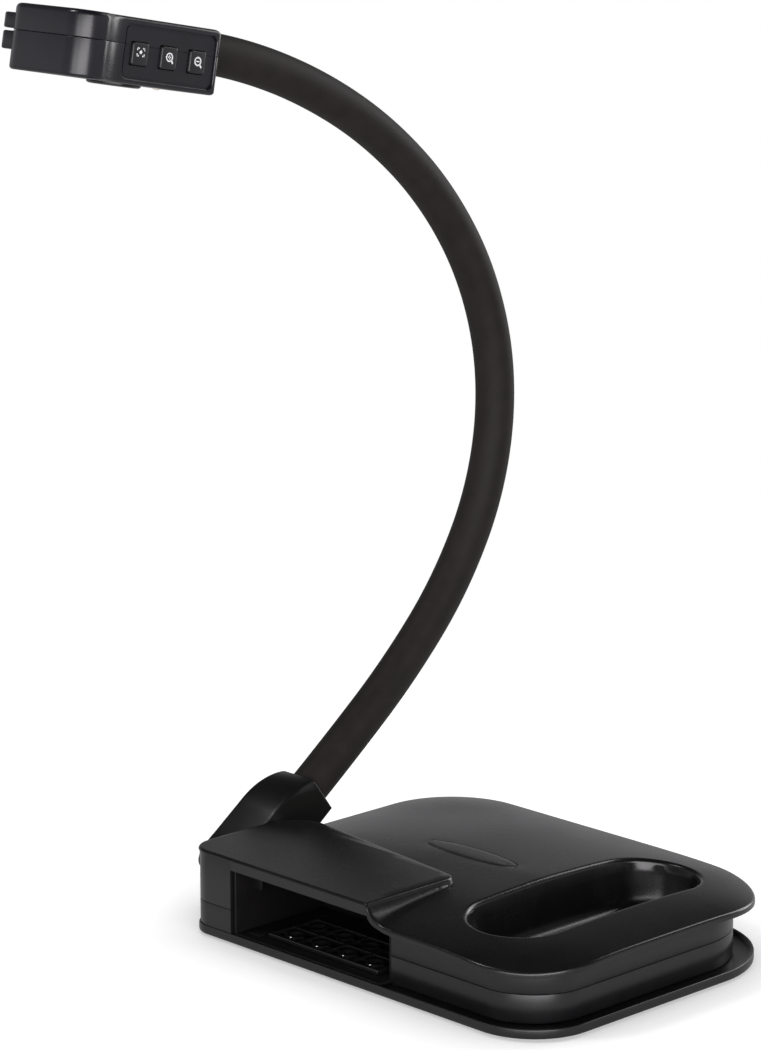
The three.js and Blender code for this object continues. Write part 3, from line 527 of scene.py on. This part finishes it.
def cover_plan():
    """Triangulates the cover's plan, with edges along every line where its height bends."""
    outline = fill_in(rounded_path(COVER_PATH, step=3.0), 3.0, RAMP_BOX)
    rim_lines = (0, 0.1, 0.3, 0.5, 0.56, 0.9, 1.3, 2.2, 3.5, 5, 7, 9.5, 12, 12.6)
    lip_lines = (3.2, 2.2, 1.8, 1.3, 0.8, 0.35, 0.1, 0)
    grip_lines = (0.9, 1.1, 1.3, 1.6, 1.9, 2.2, 2.5, 2.9, 3.3, 3.8, 4.3, 4.9, 5.5, 6.2, 7.0, 9.0, 12.0)
    loops = [ring_points(outline, -d) for d in rim_lines]
    loops += [pill_points(d) for d in lip_lines]
    loops += [pill_points(-d) for d in grip_lines]
    loops += [ellipse_points(d) for d in (-0.15, 0, 0.4, 0.55)]
    platform_line = fill_in(PLATFORM_PATH, 3.0, RAMP_BOX)
    platform = [ring_points(platform_line, -d) for d in (-0.4, 0, 0.12, 0.35, 0.7, 1.4)]
    points, edges = [], []
    for loop in loops:
        first = len(points)
        points += [tuple(p) for p in loop]
        edges += [(first + i, first + (i + 1) % len(loop)) for i in range(len(loop))]
    for loop in platform:
        kept = rim_inset(loop[:, 0], loop[:, 1]) > HELD_INSIDE
        size = len(loop)
        index = {}
        for i in range(size):
            if kept[i]:
                index[i] = len(points)
                points.append(tuple(loop[i]))
        for i in range(size):
            j = (i + 1) % size
            if kept[i] and kept[j]:
                edges.append((index[i], index[j]))
            elif kept[i] != kept[j]:
                meet = clip_to_rim(loop[i], loop[j])
                points.append(tuple(meet))
                edges.append((index[i] if kept[i] else index[j], len(points) - 1))
    for y in (BAY_EDGE_BACK, BAY_EDGE_BACK - 0.4):
        first = len(points)
        points += [(-BASE_X + 0.05, y), (21.0, y)]
        edges.append((first, first + 1))
    taken = np.array(points)
    for x0, x1, y0, y1, gap in ((-114, 114, -89, 89, 4.0), (7, 27, -89, -29, 1.1)):
        grid = np.array([(x, y) for x in np.arange(x0, x1, gap) for y in np.arange(y0, y1, gap)])
        grid = grid[rim_inset(grid[:, 0], grid[:, 1]) > 1.4]
        clear = []
        for chunk in np.array_split(grid, max(1, len(grid) // 400)):
            apart = np.hypot(
                chunk[:, None, 0] - taken[None, :, 0], chunk[:, None, 1] - taken[None, :, 1]
            )
            clear.append(chunk[np.min(apart, axis=1) > gap * 0.45])
        fresh = np.vstack(clear)
        points += [tuple(p) for p in fresh]
        taken = np.array(points)
    result = delaunay_2d_cdt([Vector(p) for p in points], edges, [], 0, 1e-5, False)
    flat = np.array([tuple(v) for v in result[0]])
    faces = [f for f in result[2] if len(f) == 3]
    middle = np.array([flat[list(f)].mean(axis=0) for f in faces])
    held = rim_inset(middle[:, 0], middle[:, 1]) > -1e-4
    return flat, [f for f, ok in zip(faces, held) if ok]


def clip_to_rim(a, b):
    """The point between a and b that lies just inside the cover's outline."""
    low, high = np.array(a, float), np.array(b, float)
    if rim_inset(low[:1], low[1:])[0] < HELD_INSIDE:
        low, high = high, low
    for _ in range(40):
        middle = (low + high) / 2
        if rim_inset(middle[:1], middle[1:])[0] > HELD_INSIDE:
            low = middle
        else:
            high = middle
    return low


def top_cover():
    flat, faces = cover_plan()
    x, y = flat[:, 0], flat[:, 1]
    top = cover_top(x, y)
    under = cover_under(x, y, top)
    count = len(flat)
    verts = np.vstack([np.column_stack([flat, top]), np.column_stack([flat, under])])
    shells = [tuple(f) for f in faces] + [tuple(count + i for i in reversed(f)) for f in faces]
    edges = {}
    for f in faces:
        for a, b in ((f[0], f[1]), (f[1], f[2]), (f[2], f[0])):
            edges[(a, b)] = edges.get((a, b), 0) + 1
    rim = [(a, b) for a, b in edges if (b, a) not in edges]
    shells += [(b, a, count + a, count + b) for a, b in rim]
    cover = mesh_object("top_cover_moulding", verts, shells, sharp=40)
    finish_piece(cover, "base", "cover", "cover", "top_cover")


def badge_plate():
    heights = (
        (-0.35, -0.9), (0.0, -0.9), (0.0, -0.35), (-0.1, -0.12),
        (-0.35, 0.02), (-0.8, 0.08), (-2.5, 0.12), (-5.0, 0.14),
    )
    rings = []
    for grow, rise in heights:
        ring = ellipse_points(grow - 0.15)
        z = dome_height(ring[:, 0], ring[:, 1]) + rise
        rings.append(np.column_stack([ring, z]))
    plate = loft("badge_plate", rings, sharp=50)
    finish_piece(plate, "base", "cover", "badge", "badge")


# ---- Walls and tray ----------------------------------------------------------------------

WALL_PATH = [
    (BAY_EDGE_RIGHT, -DRUM_Y, 0),
    (DRUM_X, -DRUM_Y, DRUM_CORNER),
    (DRUM_X, DRUM_Y, BACK_CORNER - 10),
    (-DRUM_X, DRUM_Y, DRUM_CORNER),
    (-DRUM_X, BLOCK_BACK, 3.0),
    (-BLOCK_X, BLOCK_BACK, 5.0),
    (-BLOCK_X, -BLOCK_Y, FRONT_LEFT_CORNER),
    (BAY_EDGE_LEFT, -BLOCK_Y, 0),
]


def wall_band(name, low, high, path, *nodes):
    """A length of outer wall with small rounded edges."""
    edge, thick = 0.25, 2.2
    profile = [
        (0, low + edge), (0, high - edge), (-edge * 0.3, high - edge * 0.3), (-edge, high),
        (-thick, high), (-thick, low), (-edge, low), (-edge * 0.3, low + edge * 0.3),
    ]
    band = sweep(name, rounded_path(path, closed=False, step=3.0), profile)
    finish_piece(band, "base", "casing", "casing", *nodes)


def walls():
    wall_band("drum_wall_lower", 2.7, SEAM_Z - SEAM_GAP, WALL_PATH, "lower_shell")
    drum = WALL_PATH[:4] + [(-DRUM_X, BLOCK_BACK - 4, 0)]
    corner = [(-DRUM_X + 4, BLOCK_BACK, 0)] + WALL_PATH[5:]
    wall_band("drum_wall_upper", SEAM_Z + SEAM_GAP, 27.2, drum, "upper_shell")
    wall_band("corner_wall_upper", SEAM_Z + SEAM_GAP, PLATFORM_Z - 1.1, corner)


def plan_centre(node):
    """Middle of a CAD node's box, in millimetres."""
    low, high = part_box(node)
    return (low.x + high.x) / 2 / MM, (low.y + high.y) / 2 / MM


def tray():
    path = rounded_path(
        [
            (-BASE_X, -BASE_Y, FRONT_LEFT_CORNER),
            (BASE_X, -BASE_Y, TRAY_CORNER),
            (BASE_X, BASE_Y, BACK_CORNER),
            (-BASE_X, BASE_Y, TRAY_CORNER),
        ],
        step=3.0,
    )
    section = [
        (-1.0, 0), (-0.5, 0.1), (-0.15, 0.45), (0, 1.0), (0, 3.9), (-0.12, 4.3), (-0.4, 4.5),
        (-1.2, 4.5), (-1.5, 4.35), (-1.6, 4.1), (-1.6, 2.9), (-1.75, 2.55), (-2.1, 2.4),
    ]
    plate = loft("base_tray", [level(path, off, z) for off, z in section])
    for name in ("foot_front_left", "foot_front_right", "foot_back_right", "foot_back_left"):
        centre = plan_centre(name)
        boolean(plate, plug(8.35, -2, 0.9, centre))
        profile = [(AXIS, 0.7), (7.9, 0.7), (8.0, 0.5), (8.0, -0.7), (7.85, -1.0), (7.5, -1.2), (5.6, -1.2),
                   (5.4, -0.95), (5.0, -0.95), (4.8, -1.2), (AXIS, -1.2)]
        foot = turned(name + "_pad", profile, centre, sides=48)
        finish_piece(foot, "base", "rubber", "rubber", name)
    for index in range(1, 5):
        x, y = plan_centre(f"tray_screw_{index}")
        boolean(plate, plug(3.2, -2, 1.2, (x, y)))
        screw_head(f"screw_head_{index}", x, y, f"tray_screw_{index}")
    finish_piece(plate, "base", "casing", "casing", "bottom_tray")


def screw_head(name, x, y, node):
    profile = [(AXIS, 8), (1.4, 8), (1.4, 0.9), (2.9, 0.9), (2.9, 0.4), (2.7, 0.2), (2.2, 0.1), (AXIS, 0.1)]
    head = turned(name, profile, (x, y), sides=32)
    for turn in (0.4, 0.4 + math.pi / 2):
        slot = rounded_box("slot", (-1.5, -0.28, -1), (1.5, 0.28, 0.55), 0.08)
        slot.data.transform(Matrix.Translation((x * MM, y * MM, 0)) @ Matrix.Rotation(turn, 4, "Z"))
        boolean(head, slot)
    finish_piece(head, "base", "steel", "steel", node)


# ---- Storage bay -------------------------------------------------------------------------


def joined(name, parts):
    """Makes one closed mesh of overlapping ones."""
    whole = parts[0]
    whole.name = name
    for part in parts[1:]:
        boolean(whole, part, "UNION")
    whole.data.shade_smooth()
    whole.data.set_sharp_from_angle(angle=math.radians(32))
    return whole


def bay():
    """The bay's lining, with the tab at its left, and the lattice on its floor."""
    walls_and_floor = [
        rounded_box("part", (-84.6, -87.9, 2.7), (14.2, -28.4, 4.6), 0.4),
        rounded_box("part", (-84.6, -87.9, 2.7), (-83.0, -28.4, 35.7), 0.4),
        rounded_box("part", (-84.6, -30.0, 2.7), (14.2, -28.4, 27.0), 0.4),
        rounded_box("part", (-84.6, -30.0, 20.0), (8.0, -28.4, 35.7), 0.4),
        rounded_box("part", (12.6, -79.6, 2.7), (14.2, -28.4, 26.0), 0.4),
        rounded_box("part", (-83.5, -77.5, 25.0), (-76.2, -75.5, 35.7), 0.5),
        rounded_box("part", (-81.5, -83.0, 4.4), (-72.0, -34.0, 5.1), 0.3),
    ]
    finish_piece(joined("bay_lining", walls_and_floor), "base", "liner", "liner", "bay_liner")
    low, high = 4.9, 7.1
    bars = [rounded_box("part", (-68, y - 0.8, low), (6, y + 0.8, high), 0.45) for y in (-80, -65, -50)]
    columns = (-67.1, -49.1, -31.1, -13.1, 4.9)
    for x in columns:
        bars.append(rounded_box("part", (x - 0.9, -80.8, low), (x + 0.9, -49.2, high - 0.15), 0.45))
    ring = [
        (3.4, low), (3.4, high - 0.6), (3.7, high - 0.3), (4.4, high - 0.3), (4.7, high - 0.6), (4.7, low),
    ]
    for x in columns[:4]:
        for y in (-72.5, -57.5):
            bars.append(turned("part", ring, (x + 9.0, y), sides=32))
            for left, right in ((x + 0.4, x + 4.8), (x + 13.2, x + 17.6)):
                bars.append(rounded_box("part", (left, y - 0.5, low), (right, y + 0.5, high - 0.7), 0.2))
    finish_piece(joined("bay_lattice", bars), "base", "gloss", "liner", "bay_grille")


# ---- Arm block ---------------------------------------------------------------------------


def bezier(a, b, c, count):
    t = np.linspace(0, 1, count + 1)[:-1, None]
    a, b, c = (np.array(p, float) for p in (a, b, c))
    return (1 - t) ** 2 * a + 2 * t * (1 - t) * b + t * t * c


def arm_outline(inset, drop):
    """The block's side view in Y and Z, from the top of its end face round the pin and back."""
    along, across = math.cos(NECK_HEADING), math.sin(NECK_HEADING)
    half = ARM_END_HALF - inset
    back = inset + 0.3
    end = np.array([NECK_START_Y - along * back, NECK_START_Z - across * back])
    up = np.array([-across, along])
    top, bottom = end + up * half, end - up * half
    a = (-34, 47.5 - inset - drop)
    b = (-52 + inset * 0.7, 34.5 - inset * 0.7 - drop)
    c = (-62 + inset, 20 + inset * 0.3)
    d = (-42, 8.5 + inset)
    e = (-24 - inset * 0.5, 16 + inset)
    parts = [
        bezier(top, (-21, 57.5 - inset - drop * 0.7), a, 18),
        bezier(a, (np.array(a) + b) / 2, b, 6),
        bezier(b, (-65 + inset, 26 - drop * 0.5), c, 14),
        bezier(c, (-56 + inset * 0.7, 8.5 + inset), d, 14),
        bezier(d, (-32, 8.5 + inset), e, 10),
        bezier(e, (np.array(e) + bottom) / 2, bottom, 8),
        bezier(bottom, end, top, 8),
    ]
    return np.vstack(parts)


def arm_block():
    steps = [
        (0.0, 2.0), (0.15, 1.25), (0.6, 0.55), (1.2, 0.15), (2.0, 0.0),
        (21.6, 0.0), (23.2, 0.1), (23.7, 0.35), (ARM_WIDTH, 0.8),
    ]
    rings = []
    for across, inset in steps:
        ring = arm_outline(inset, ARM_DROP * across / ARM_WIDTH)
        rings.append(np.column_stack([np.full(len(ring), ARM_LEFT + across), ring]))
    block = loft("arm_block_housing", rings, sharp=30)
    finish_piece(block, "arm", "arm", "casing", "arm_shell_left", "arm_shell_right")


# ---- Gooseneck ---------------------------------------------------------------------------


def neck_arcs():
    """Start, heading and curvature of each length of the neck, and the place where it ends."""
    arcs = []
    y, z, heading = NECK_START_Y, NECK_START_Z, NECK_HEADING
    for degrees in NECK_BENDS:
        bend = math.radians(degrees)
        curve = bend / LINK_LENGTH
        arcs.append((y, z, heading, curve))
        y += (math.sin(heading + bend) - math.sin(heading)) / curve
        z -= (math.cos(heading + bend) - math.cos(heading)) / curve
        heading += bend
    return arcs, (y, z, heading)


ARCS, NECK_END = neck_arcs()


def along_neck(distance):
    """Place and heading on the neck's middle line."""
    index = min(max(int(distance // LINK_LENGTH), 0), len(ARCS) - 1)
    y, z, heading, curve = ARCS[index]
    rest = distance - index * LINK_LENGTH
    turned_to = heading + curve * rest
    return (
        y + (math.sin(turned_to) - math.sin(heading)) / curve,
        z - (math.cos(turned_to) - math.cos(heading)) / curve,
        turned_to,
    )


def neck_ring(distance):
    y, z, heading = along_neck(distance)
    angle = np.linspace(0, 2 * math.pi, 48, endpoint=False)
    lift = np.sin(angle) * NECK_RADIUS
    return np.column_stack([
        ARM_X + np.cos(angle) * NECK_RADIUS,
        y + math.sin(heading) * lift,
        z - math.cos(heading) * lift,
    ])


def sleeve_piece(name, start, end):
    count = max(4, round((end - start) / 3.0))
    rings = [neck_ring(s) for s in np.linspace(start, end, count)]
    return loft(name, rings, sharp=50)


def gooseneck():
    half = LINK_LENGTH / 2
    first = sleeve_piece("neck_sleeve_root", -NECK_ROOT_DEPTH, half)
    finish_piece(first, "arm", "sleeve", "sleeve", "neck_link_1")
    for i in range(1, 10):
        joint = i * LINK_LENGTH
        piece = sleeve_piece(f"neck_sleeve_{i}", joint - half, joint + half)
        paint(piece, "sleeve")
        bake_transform(piece)
        if i < 9:
            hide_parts(f"neck_link_{i + 1}")
    last = sleeve_piece("neck_sleeve_tip", 9 * LINK_LENGTH + half, 10 * LINK_LENGTH + NECK_TIP_DEPTH)
    finish_piece(last, "head", "sleeve", "sleeve", "neck_link_10")


# ---- Camera head -------------------------------------------------------------------------

HEAD_PLACE = Matrix.Translation(
    (
        ARM_X * MM,
        (NECK_END[0] + HEAD_ABOVE_NECK * math.sin(HEAD_TILT)) * MM,
        (NECK_END[1] + HEAD_ABOVE_NECK * math.cos(HEAD_TILT)) * MM,
    )
) @ Matrix.Rotation(-HEAD_TILT, 4, "X")


RECESS_PATH = rounded_path(
    [(-57.6, -12.6, 3), (-2.8, -12.6, 3), (-2.8, 11.9, 3), (-57.6, 11.9, 3)], step=10
)


def cubic(a, b, c, d, count):
    t = np.linspace(0, 1, count + 1)[:-1, None]
    a, b, c, d = (np.array(p, float) for p in (a, b, c, d))
    return (1 - t) ** 3 * a + 3 * t * (1 - t) ** 2 * b + 3 * t * t * (1 - t) * c + t**3 * d


def head_outline(inset):
    """The head's plan, wider round the camera at the front."""
    rear, front = HEAD_REAR_HALF - inset, HEAD_FRONT_HALF - inset
    nose, corner = -HEAD_LENGTH + inset, HEAD_CORNER - inset
    tail = -inset
    right = [
        cubic((front, -77.2), (front, -76), (front, -75), (front, -74.2), 2),
        cubic((front, -74.2), (front, -70.5), (rear, -67.5), (rear, -58.6), 30),
        cubic((rear, -58.6), (rear, -50), (rear, -20), (rear, tail - 2.5), 4),
        bezier((rear, tail - 2.5), (rear, tail), (rear - 2.5, tail), 8),
    ]
    side = np.vstack(right)
    angle = np.linspace(-math.pi / 2, 0, 15)[:-1]
    turn = np.column_stack([front - corner + corner * np.cos(angle), nose + corner + corner * np.sin(angle)])
    half = np.vstack([turn, side, [[rear - 2.5, tail]]])
    mirrored = half[::-1] * np.array([-1, 1])
    return np.vstack([half, mirrored])


def head_rings(z0, z1, low_edge, high_edge):
    """Rings up a head shell whose bottom and top edges are rounded."""
    quarter = [math.pi / 2 * k / 6 for k in range(7)]
    low = [(low_edge * (1 - math.sin(a)), z0 + low_edge * (1 - math.cos(a))) for a in quarter]
    high = [(high_edge * (1 - math.cos(a)), z1 - high_edge * (1 - math.sin(a))) for a in quarter]
    result = []
    for inset, z in low + high:
        plan = head_outline(inset)
        result.append(np.column_stack([plan, np.full(len(plan), z)]))
    return result


def recess_tool():
    """The shallow field the buttons stand in."""
    levels = ((20.8, -0.5), (20.95, -0.12), (21.2, 0.0), (21.6, 0.1), (21.8, 0.35), (29.0, 0.4))
    return loft("recess", [upright(RECESS_PATH, grow, x) for x, grow in levels])


def border_groove():
    """A fine groove round the foot of the button field."""
    levels = ((21.3, -1.1), (20.3, -1.0), (20.3, 0), (21.3, 0.1))
    return loft("groove", [upright(RECESS_PATH, grow, x) for x, grow in levels], loop=True)


def lug_piece(z0, z1):
    path = rounded_path([(-33, -86, 5), (-20, -86, 0.5), (-20, -77.5, 0.5), (-33, -77.5, 3)], step=10)
    edge = 0.8
    levels = [(-edge, z0), (-edge * 0.3, z0 + edge * 0.3), (0, z0 + edge)]
    levels += [(0, z1 - edge), (-edge * 0.3, z1 - edge * 0.3), (-edge, z1)]
    return loft("lug", [level(path, off, z) for off, z in levels])


def head_shell(name, z0, z1, low_edge, high_edge, lug, node):
    shell = loft(name, head_rings(z0, z1, low_edge, high_edge), sharp=30)
    boolean(shell, lug_piece(*lug), "UNION")
    boolean(shell, recess_tool())
    boolean(shell, border_groove())
    for y in BUTTONS.values():
        pocket = rounded_box("pocket", (15.4, y - 5.1, BUTTON_Z - 5.5), (34, y + 5.1, BUTTON_Z + 5.5), 0.6)
        boolean(shell, pocket)
    if z0 < 0:
        boolean(shell, plug(10.3, -20, 0, (0, LENS_Y)))
        boolean(shell, plug(2.7, -20, -5, (0, LAMP_Y), sides=32))
    shell.data.shade_smooth()
    shell.data.set_sharp_from_angle(angle=math.radians(28))
    shell.data.transform(HEAD_PLACE)
    finish_piece(shell, "head", "head", "casing", node)


def button_cap(name, y):
    half_y, half_z, corner = 4.75, 5.15, 1.1
    path = rounded_path(
        [(y - half_y, BUTTON_Z - half_z, corner), (y + half_y, BUTTON_Z - half_z, corner),
         (y + half_y, BUTTON_Z + half_z, corner), (y - half_y, BUTTON_Z + half_z, corner)],
        step=12,
    )
    levels = [(0, -4.9), (0, -0.75), (-0.1, -0.35), (-0.35, -0.1), (-0.8, 0)]
    cap = loft(name + "_cap", [upright(path, off, BUTTON_FACE + x) for off, x in levels], sharp=50)
    cap.data.transform(HEAD_PLACE)
    finish_piece(cap, name, "button", "button", name)


def flat_mark(name, shapes, body):
    """Printed marks on a button's face: thin closed plates, each between an outer and inner outline."""
    verts, faces = [], []
    for outer, inner in shapes:
        count = len(outer)
        base = len(verts)
        for x in (BUTTON_FACE - 0.02, BUTTON_FACE + 0.04):
            verts += [(x, p[0], p[1]) for p in outer]
            verts += [(x, p[0], p[1]) for p in inner]
        for i in range(count):
            j = (i + 1) % count
            a, b, c, d = base + i, base + j, base + count + j, base + count + i
            e, f, g, h = (v + 2 * count for v in (a, b, c, d))
            faces += [(d, c, b, a), (e, f, g, h), (a, b, f, e), (c, d, h, g)]
    mark = mesh_object(name, verts, faces, sharp=30)
    mark.data.transform(HEAD_PLACE)
    finish_piece(mark, body, "ink", "button")


def ring_shape(y, z, outer, inner, count=32):
    angle = np.linspace(0, 2 * math.pi, count, endpoint=False)
    spokes = np.column_stack([np.cos(angle), np.sin(angle)])
    return np.array([y, z]) + spokes * outer, np.array([y, z]) + spokes * inner


def bar_shape(a, b, width):
    """A straight bar between two points, as a thin outline with a hairline core."""
    a, b = np.array(a, float), np.array(b, float)
    along = (b - a) / np.linalg.norm(b - a)
    across = np.array([-along[1], along[0]]) * width / 2
    outer = np.array([a - across, b - across, b + across, a + across])
    middle = outer.mean(axis=0)
    return outer, middle + (outer - middle) * 0.02


def button_marks():
    y = BUTTONS["focus_button"]
    z = BUTTON_Z + 0.9
    corners = []
    for sy in (-1, 1):
        for sz in (-1, 1):
            tip = (y + sy * 2.1, z + sz * 1.7)
            corners.append(bar_shape((tip[0] + sy * 0.22, tip[1]), (tip[0] - sy * 1.1, tip[1]), 0.6))
            corners.append(bar_shape((tip[0], tip[1] + sz * 0.22), (tip[0], tip[1] - sz * 0.95), 0.6))
    corners.append(ring_shape(y, z, 0.8, 0.02, 24))
    flat_mark("focus_mark", corners, "focus_button")
    for name, plus in (("zoom_in_button", True), ("zoom_out_button", False)):
        y = BUTTONS[name]
        z = BUTTON_Z + 0.5
        shapes = [ring_shape(y, z, 2.1, 1.45), bar_shape((y + 1.3, z - 1.4), (y + 2.4, z - 2.7), 0.85)]
        shapes.append(bar_shape((y - 0.95, z), (y + 0.95, z), 0.55))
        if plus:
            shapes.append(bar_shape((y, z - 0.95), (y, z + 0.95), 0.55))
        flat_mark(name.replace("_button", "_mark"), shapes, name)


def head():
    upper_lug, lower_lug = (HEAD_SEAM + 0.6, 10.4), (-6.2, HEAD_SEAM - 0.6)
    head_shell("head_cover_upper", HEAD_SEAM + HEAD_SEAM_GAP, HEAD_HALF_HEIGHT, 0.3, 2.4,
               upper_lug, "head_upper_shell")
    head_shell("head_cover_lower", -HEAD_HALF_HEIGHT, HEAD_SEAM - HEAD_SEAM_GAP, 1.6, 0.25,
               lower_lug, "head_lower_shell")
    for name, y in BUTTONS.items():
        button_cap(name, y)
    button_marks()
    bezel = [(7.8, -11), (7.8, -16.0), (8.4, -16.4), (9.2, -16.5), (11.2, -16.4), (12.1, -16.1),
             (12.5, -15.6), (12.5, -15.05), (10.0, -15.05), (10.0, -11)]
    barrel = [(5.2, 1.8), (7.4, 1.8), (7.4, -15.2), (6.9, -15.4), (6.2, -15.0), (6.2, -13.6),
              (5.6, -13.4), (5.6, -12.4), (5.2, -12.0)]
    glass = [(AXIS, -12.1), (5.5, -12.1), (5.5, -12.9), (4.6, -13.5), (3.2, -14.0), (1.6, -14.3),
             (AXIS, -14.4)]
    led = [(AXIS, -9), (2.3, -9), (2.3, -14.0), (2.1, -14.9), (1.5, -15.5), (0.8, -15.75), (AXIS, -15.8)]
    for name, profile, y, sides, material, slot, node in (
        ("lens_bezel", bezel, LENS_Y, 72, "casing", "gloss_black", "lens_ring"),
        ("lens_tube", barrel, LENS_Y, 64, "gloss", "casing", "lens_barrel"),
        ("front_lens", glass, LENS_Y, 64, "glass", "glass", "lens_glass"),
        ("work_lamp", led, LAMP_Y, 48, "lamp", "lamp", "lamp_led"),
    ):
        finish_piece(turned(name, profile, (0, y), sides, HEAD_PLACE), "head", material, slot, node)


# ---- Build -------------------------------------------------------------------------------

top_cover()
badge_plate()
walls()
tray()
bay()
arm_block()
gooseneck()
head()

CARRIED = {
    "ballast_plate": "steel",
    "main_board": "board",
    "usb_socket": "socket",
    "processor_can": "steel",
    "hinge_bracket": "steel",
    "hinge_pin": "steel",
    "hinge_nut": "steel",
    "arm_core": "steel",
    "friction_washer_inner": "steel",
    "friction_washer_outer": "steel",
    "button_board": "board",
    "sensor_board": "board",
    "lamp_board": "board",
}
for node, material in CARRIED.items():
    paint(frame["nodes"][node], material)

# ---- Studio ------------------------------------------------------------------------------


def floor():
    """A pale floor that fades to plain white away from the object."""
    reach = 12000
    corners = ((-reach, -reach), (reach, -reach), (reach, reach), (-reach, reach))
    verts = [(x, y, FLOOR_Z) for x, y in corners]
    ground = mesh_object("studio_floor", verts, [(0, 1, 2, 3)])
    pale = surface("pale_floor", (0.55, 0.55, 0.55), (0.56, 0.56, 0.56), (0.8, 0.9), grain=0.0, specular=0.0)
    tree = pale.node_tree
    shader = tree.nodes["Principled BSDF"]
    shader.inputs["Emission Color"].default_value = (1, 1, 1, 1)
    seen = add_node(tree, "ShaderNodeLightPath").outputs["Is Camera Ray"]
    white = add_node(tree, "ShaderNodeEmission")
    tree.links.new(map_range(tree, seen, 0.40, 1.0), white.inputs["Strength"])
    # The contact shadow: less light where the object is close.
    shade = add_node(tree, "ShaderNodeAmbientOcclusion")
    shade.inputs["Distance"].default_value = 0.07
    near = map_range(tree, shade.outputs["AO"], 0.40, 0.86, from_min=0.45)
    both = add_node(tree, "ShaderNodeMath", operation="MULTIPLY")
    tree.links.new(near, both.inputs[0])
    tree.links.new(map_range(tree, seen, 0.36, 1.0), both.inputs[1])
    tree.links.new(both.outputs["Value"], shader.inputs["Emission Strength"])
    place = add_node(tree, "ShaderNodeNewGeometry")
    away = add_node(tree, "ShaderNodeVectorMath", operation="LENGTH")
    tree.links.new(place.outputs["Position"], away.inputs[0])
    fade = map_range(tree, away.outputs["Value"], 0.0, 1.0, 0.22, 0.75, "SMOOTHSTEP")
    mix = add_node(tree, "ShaderNodeMixShader")
    tree.links.new(fade, mix.inputs["Fac"])
    tree.links.new(shader.outputs["BSDF"], mix.inputs[1])
    tree.links.new(white.outputs["Emission"], mix.inputs[2])
    tree.links.new(mix.outputs["Shader"], tree.nodes["Material Output"].inputs["Surface"])
    ground.data.materials.append(pale)


def lamp(name, place, target, size, power, colour=(1, 1, 1)):
    """A rectangular lamp; places are in metres."""
    light = bpy.data.lights.new(name, "AREA")
    light.shape = "RECTANGLE"
    light.size, light.size_y = size
    light.energy = power
    light.color = colour
    thing = bpy.data.objects.new(name, light)
    bpy.context.scene.collection.objects.link(thing)
    thing.location = place
    thing.rotation_euler = (Vector(target) - Vector(place)).to_track_quat("-Z", "Y").to_euler()


def world():
    """Plain white where the camera sees it; its light is bright at the horizon and fades overhead."""
    sky = bpy.data.worlds.new("studio")
    bpy.context.scene.world = sky
    sky.use_nodes = True
    tree = sky.node_tree
    back = tree.nodes["Background"]
    ray = add_node(tree, "ShaderNodeTexCoord")
    split = add_node(tree, "ShaderNodeSeparateXYZ")
    tree.links.new(ray.outputs["Generated"], split.inputs["Vector"])
    glow = add_node(tree, "ShaderNodeValToRGB")
    stops = ((0.0, 0.60), (0.10, 0.58), (0.22, 0.38), (0.34, 0.18), (0.50, 0.05), (1.0, 0.03))
    ramp = glow.color_ramp
    while len(ramp.elements) < len(stops):
        ramp.elements.new(0.5)
    for element, (position, value) in zip(ramp.elements, stops):
        element.position = position
        element.color = (value, value, value * 1.03, 1)
    tree.links.new(split.outputs["Z"], glow.inputs["Fac"])
    tree.links.new(glow.outputs["Color"], back.inputs["Color"])
    back.inputs["Strength"].default_value = 1.0
    seen = add_node(tree, "ShaderNodeBackground")
    seen.inputs["Color"].default_value = (1, 1, 1, 1)
    seen.inputs["Strength"].default_value = 1.0
    path = add_node(tree, "ShaderNodeLightPath")
    mix = add_node(tree, "ShaderNodeMixShader")
    tree.links.new(path.outputs["Is Camera Ray"], mix.inputs["Fac"])
    tree.links.new(back.outputs["Background"], mix.inputs[1])
    tree.links.new(seen.outputs["Background"], mix.inputs[2])
    tree.links.new(mix.outputs["Shader"], tree.nodes["World Output"].inputs["Surface"])


def camera():
    lens = bpy.data.cameras.new("view")
    lens.lens = 132.6
    lens.sensor_width = 36.0
    lens.clip_end = 50.0
    thing = bpy.data.objects.new("view", lens)
    bpy.context.scene.collection.objects.link(thing)
    thing.location = (1.2170, -1.2530, 0.6070)
    down, heading = 13.02, 45.88
    thing.rotation_euler = (math.radians(90 - down), 0, math.radians(heading))
    bpy.context.scene.camera = thing


floor()
lamp("front", (1.85, -1.15, 0.50), (0, 0, 0.2), (1.7, 1.0), 34, (1.0, 0.97, 1.0))
lamp("front_left", (0.86, -2.03, 0.50), (0, 0, 0.2), (1.1, 1.0), 14)
lamp("right", (0.20, 1.9, 0.90), (0, 0, 0.15), (0.8, 1.7), 19)
lamp("spark", (-0.71, -0.90, 1.64), (0, 0, 0.05), (0.3, 0.3), 8)
world()
camera()
bpy.context.scene.view_settings.view_transform = "Standard"
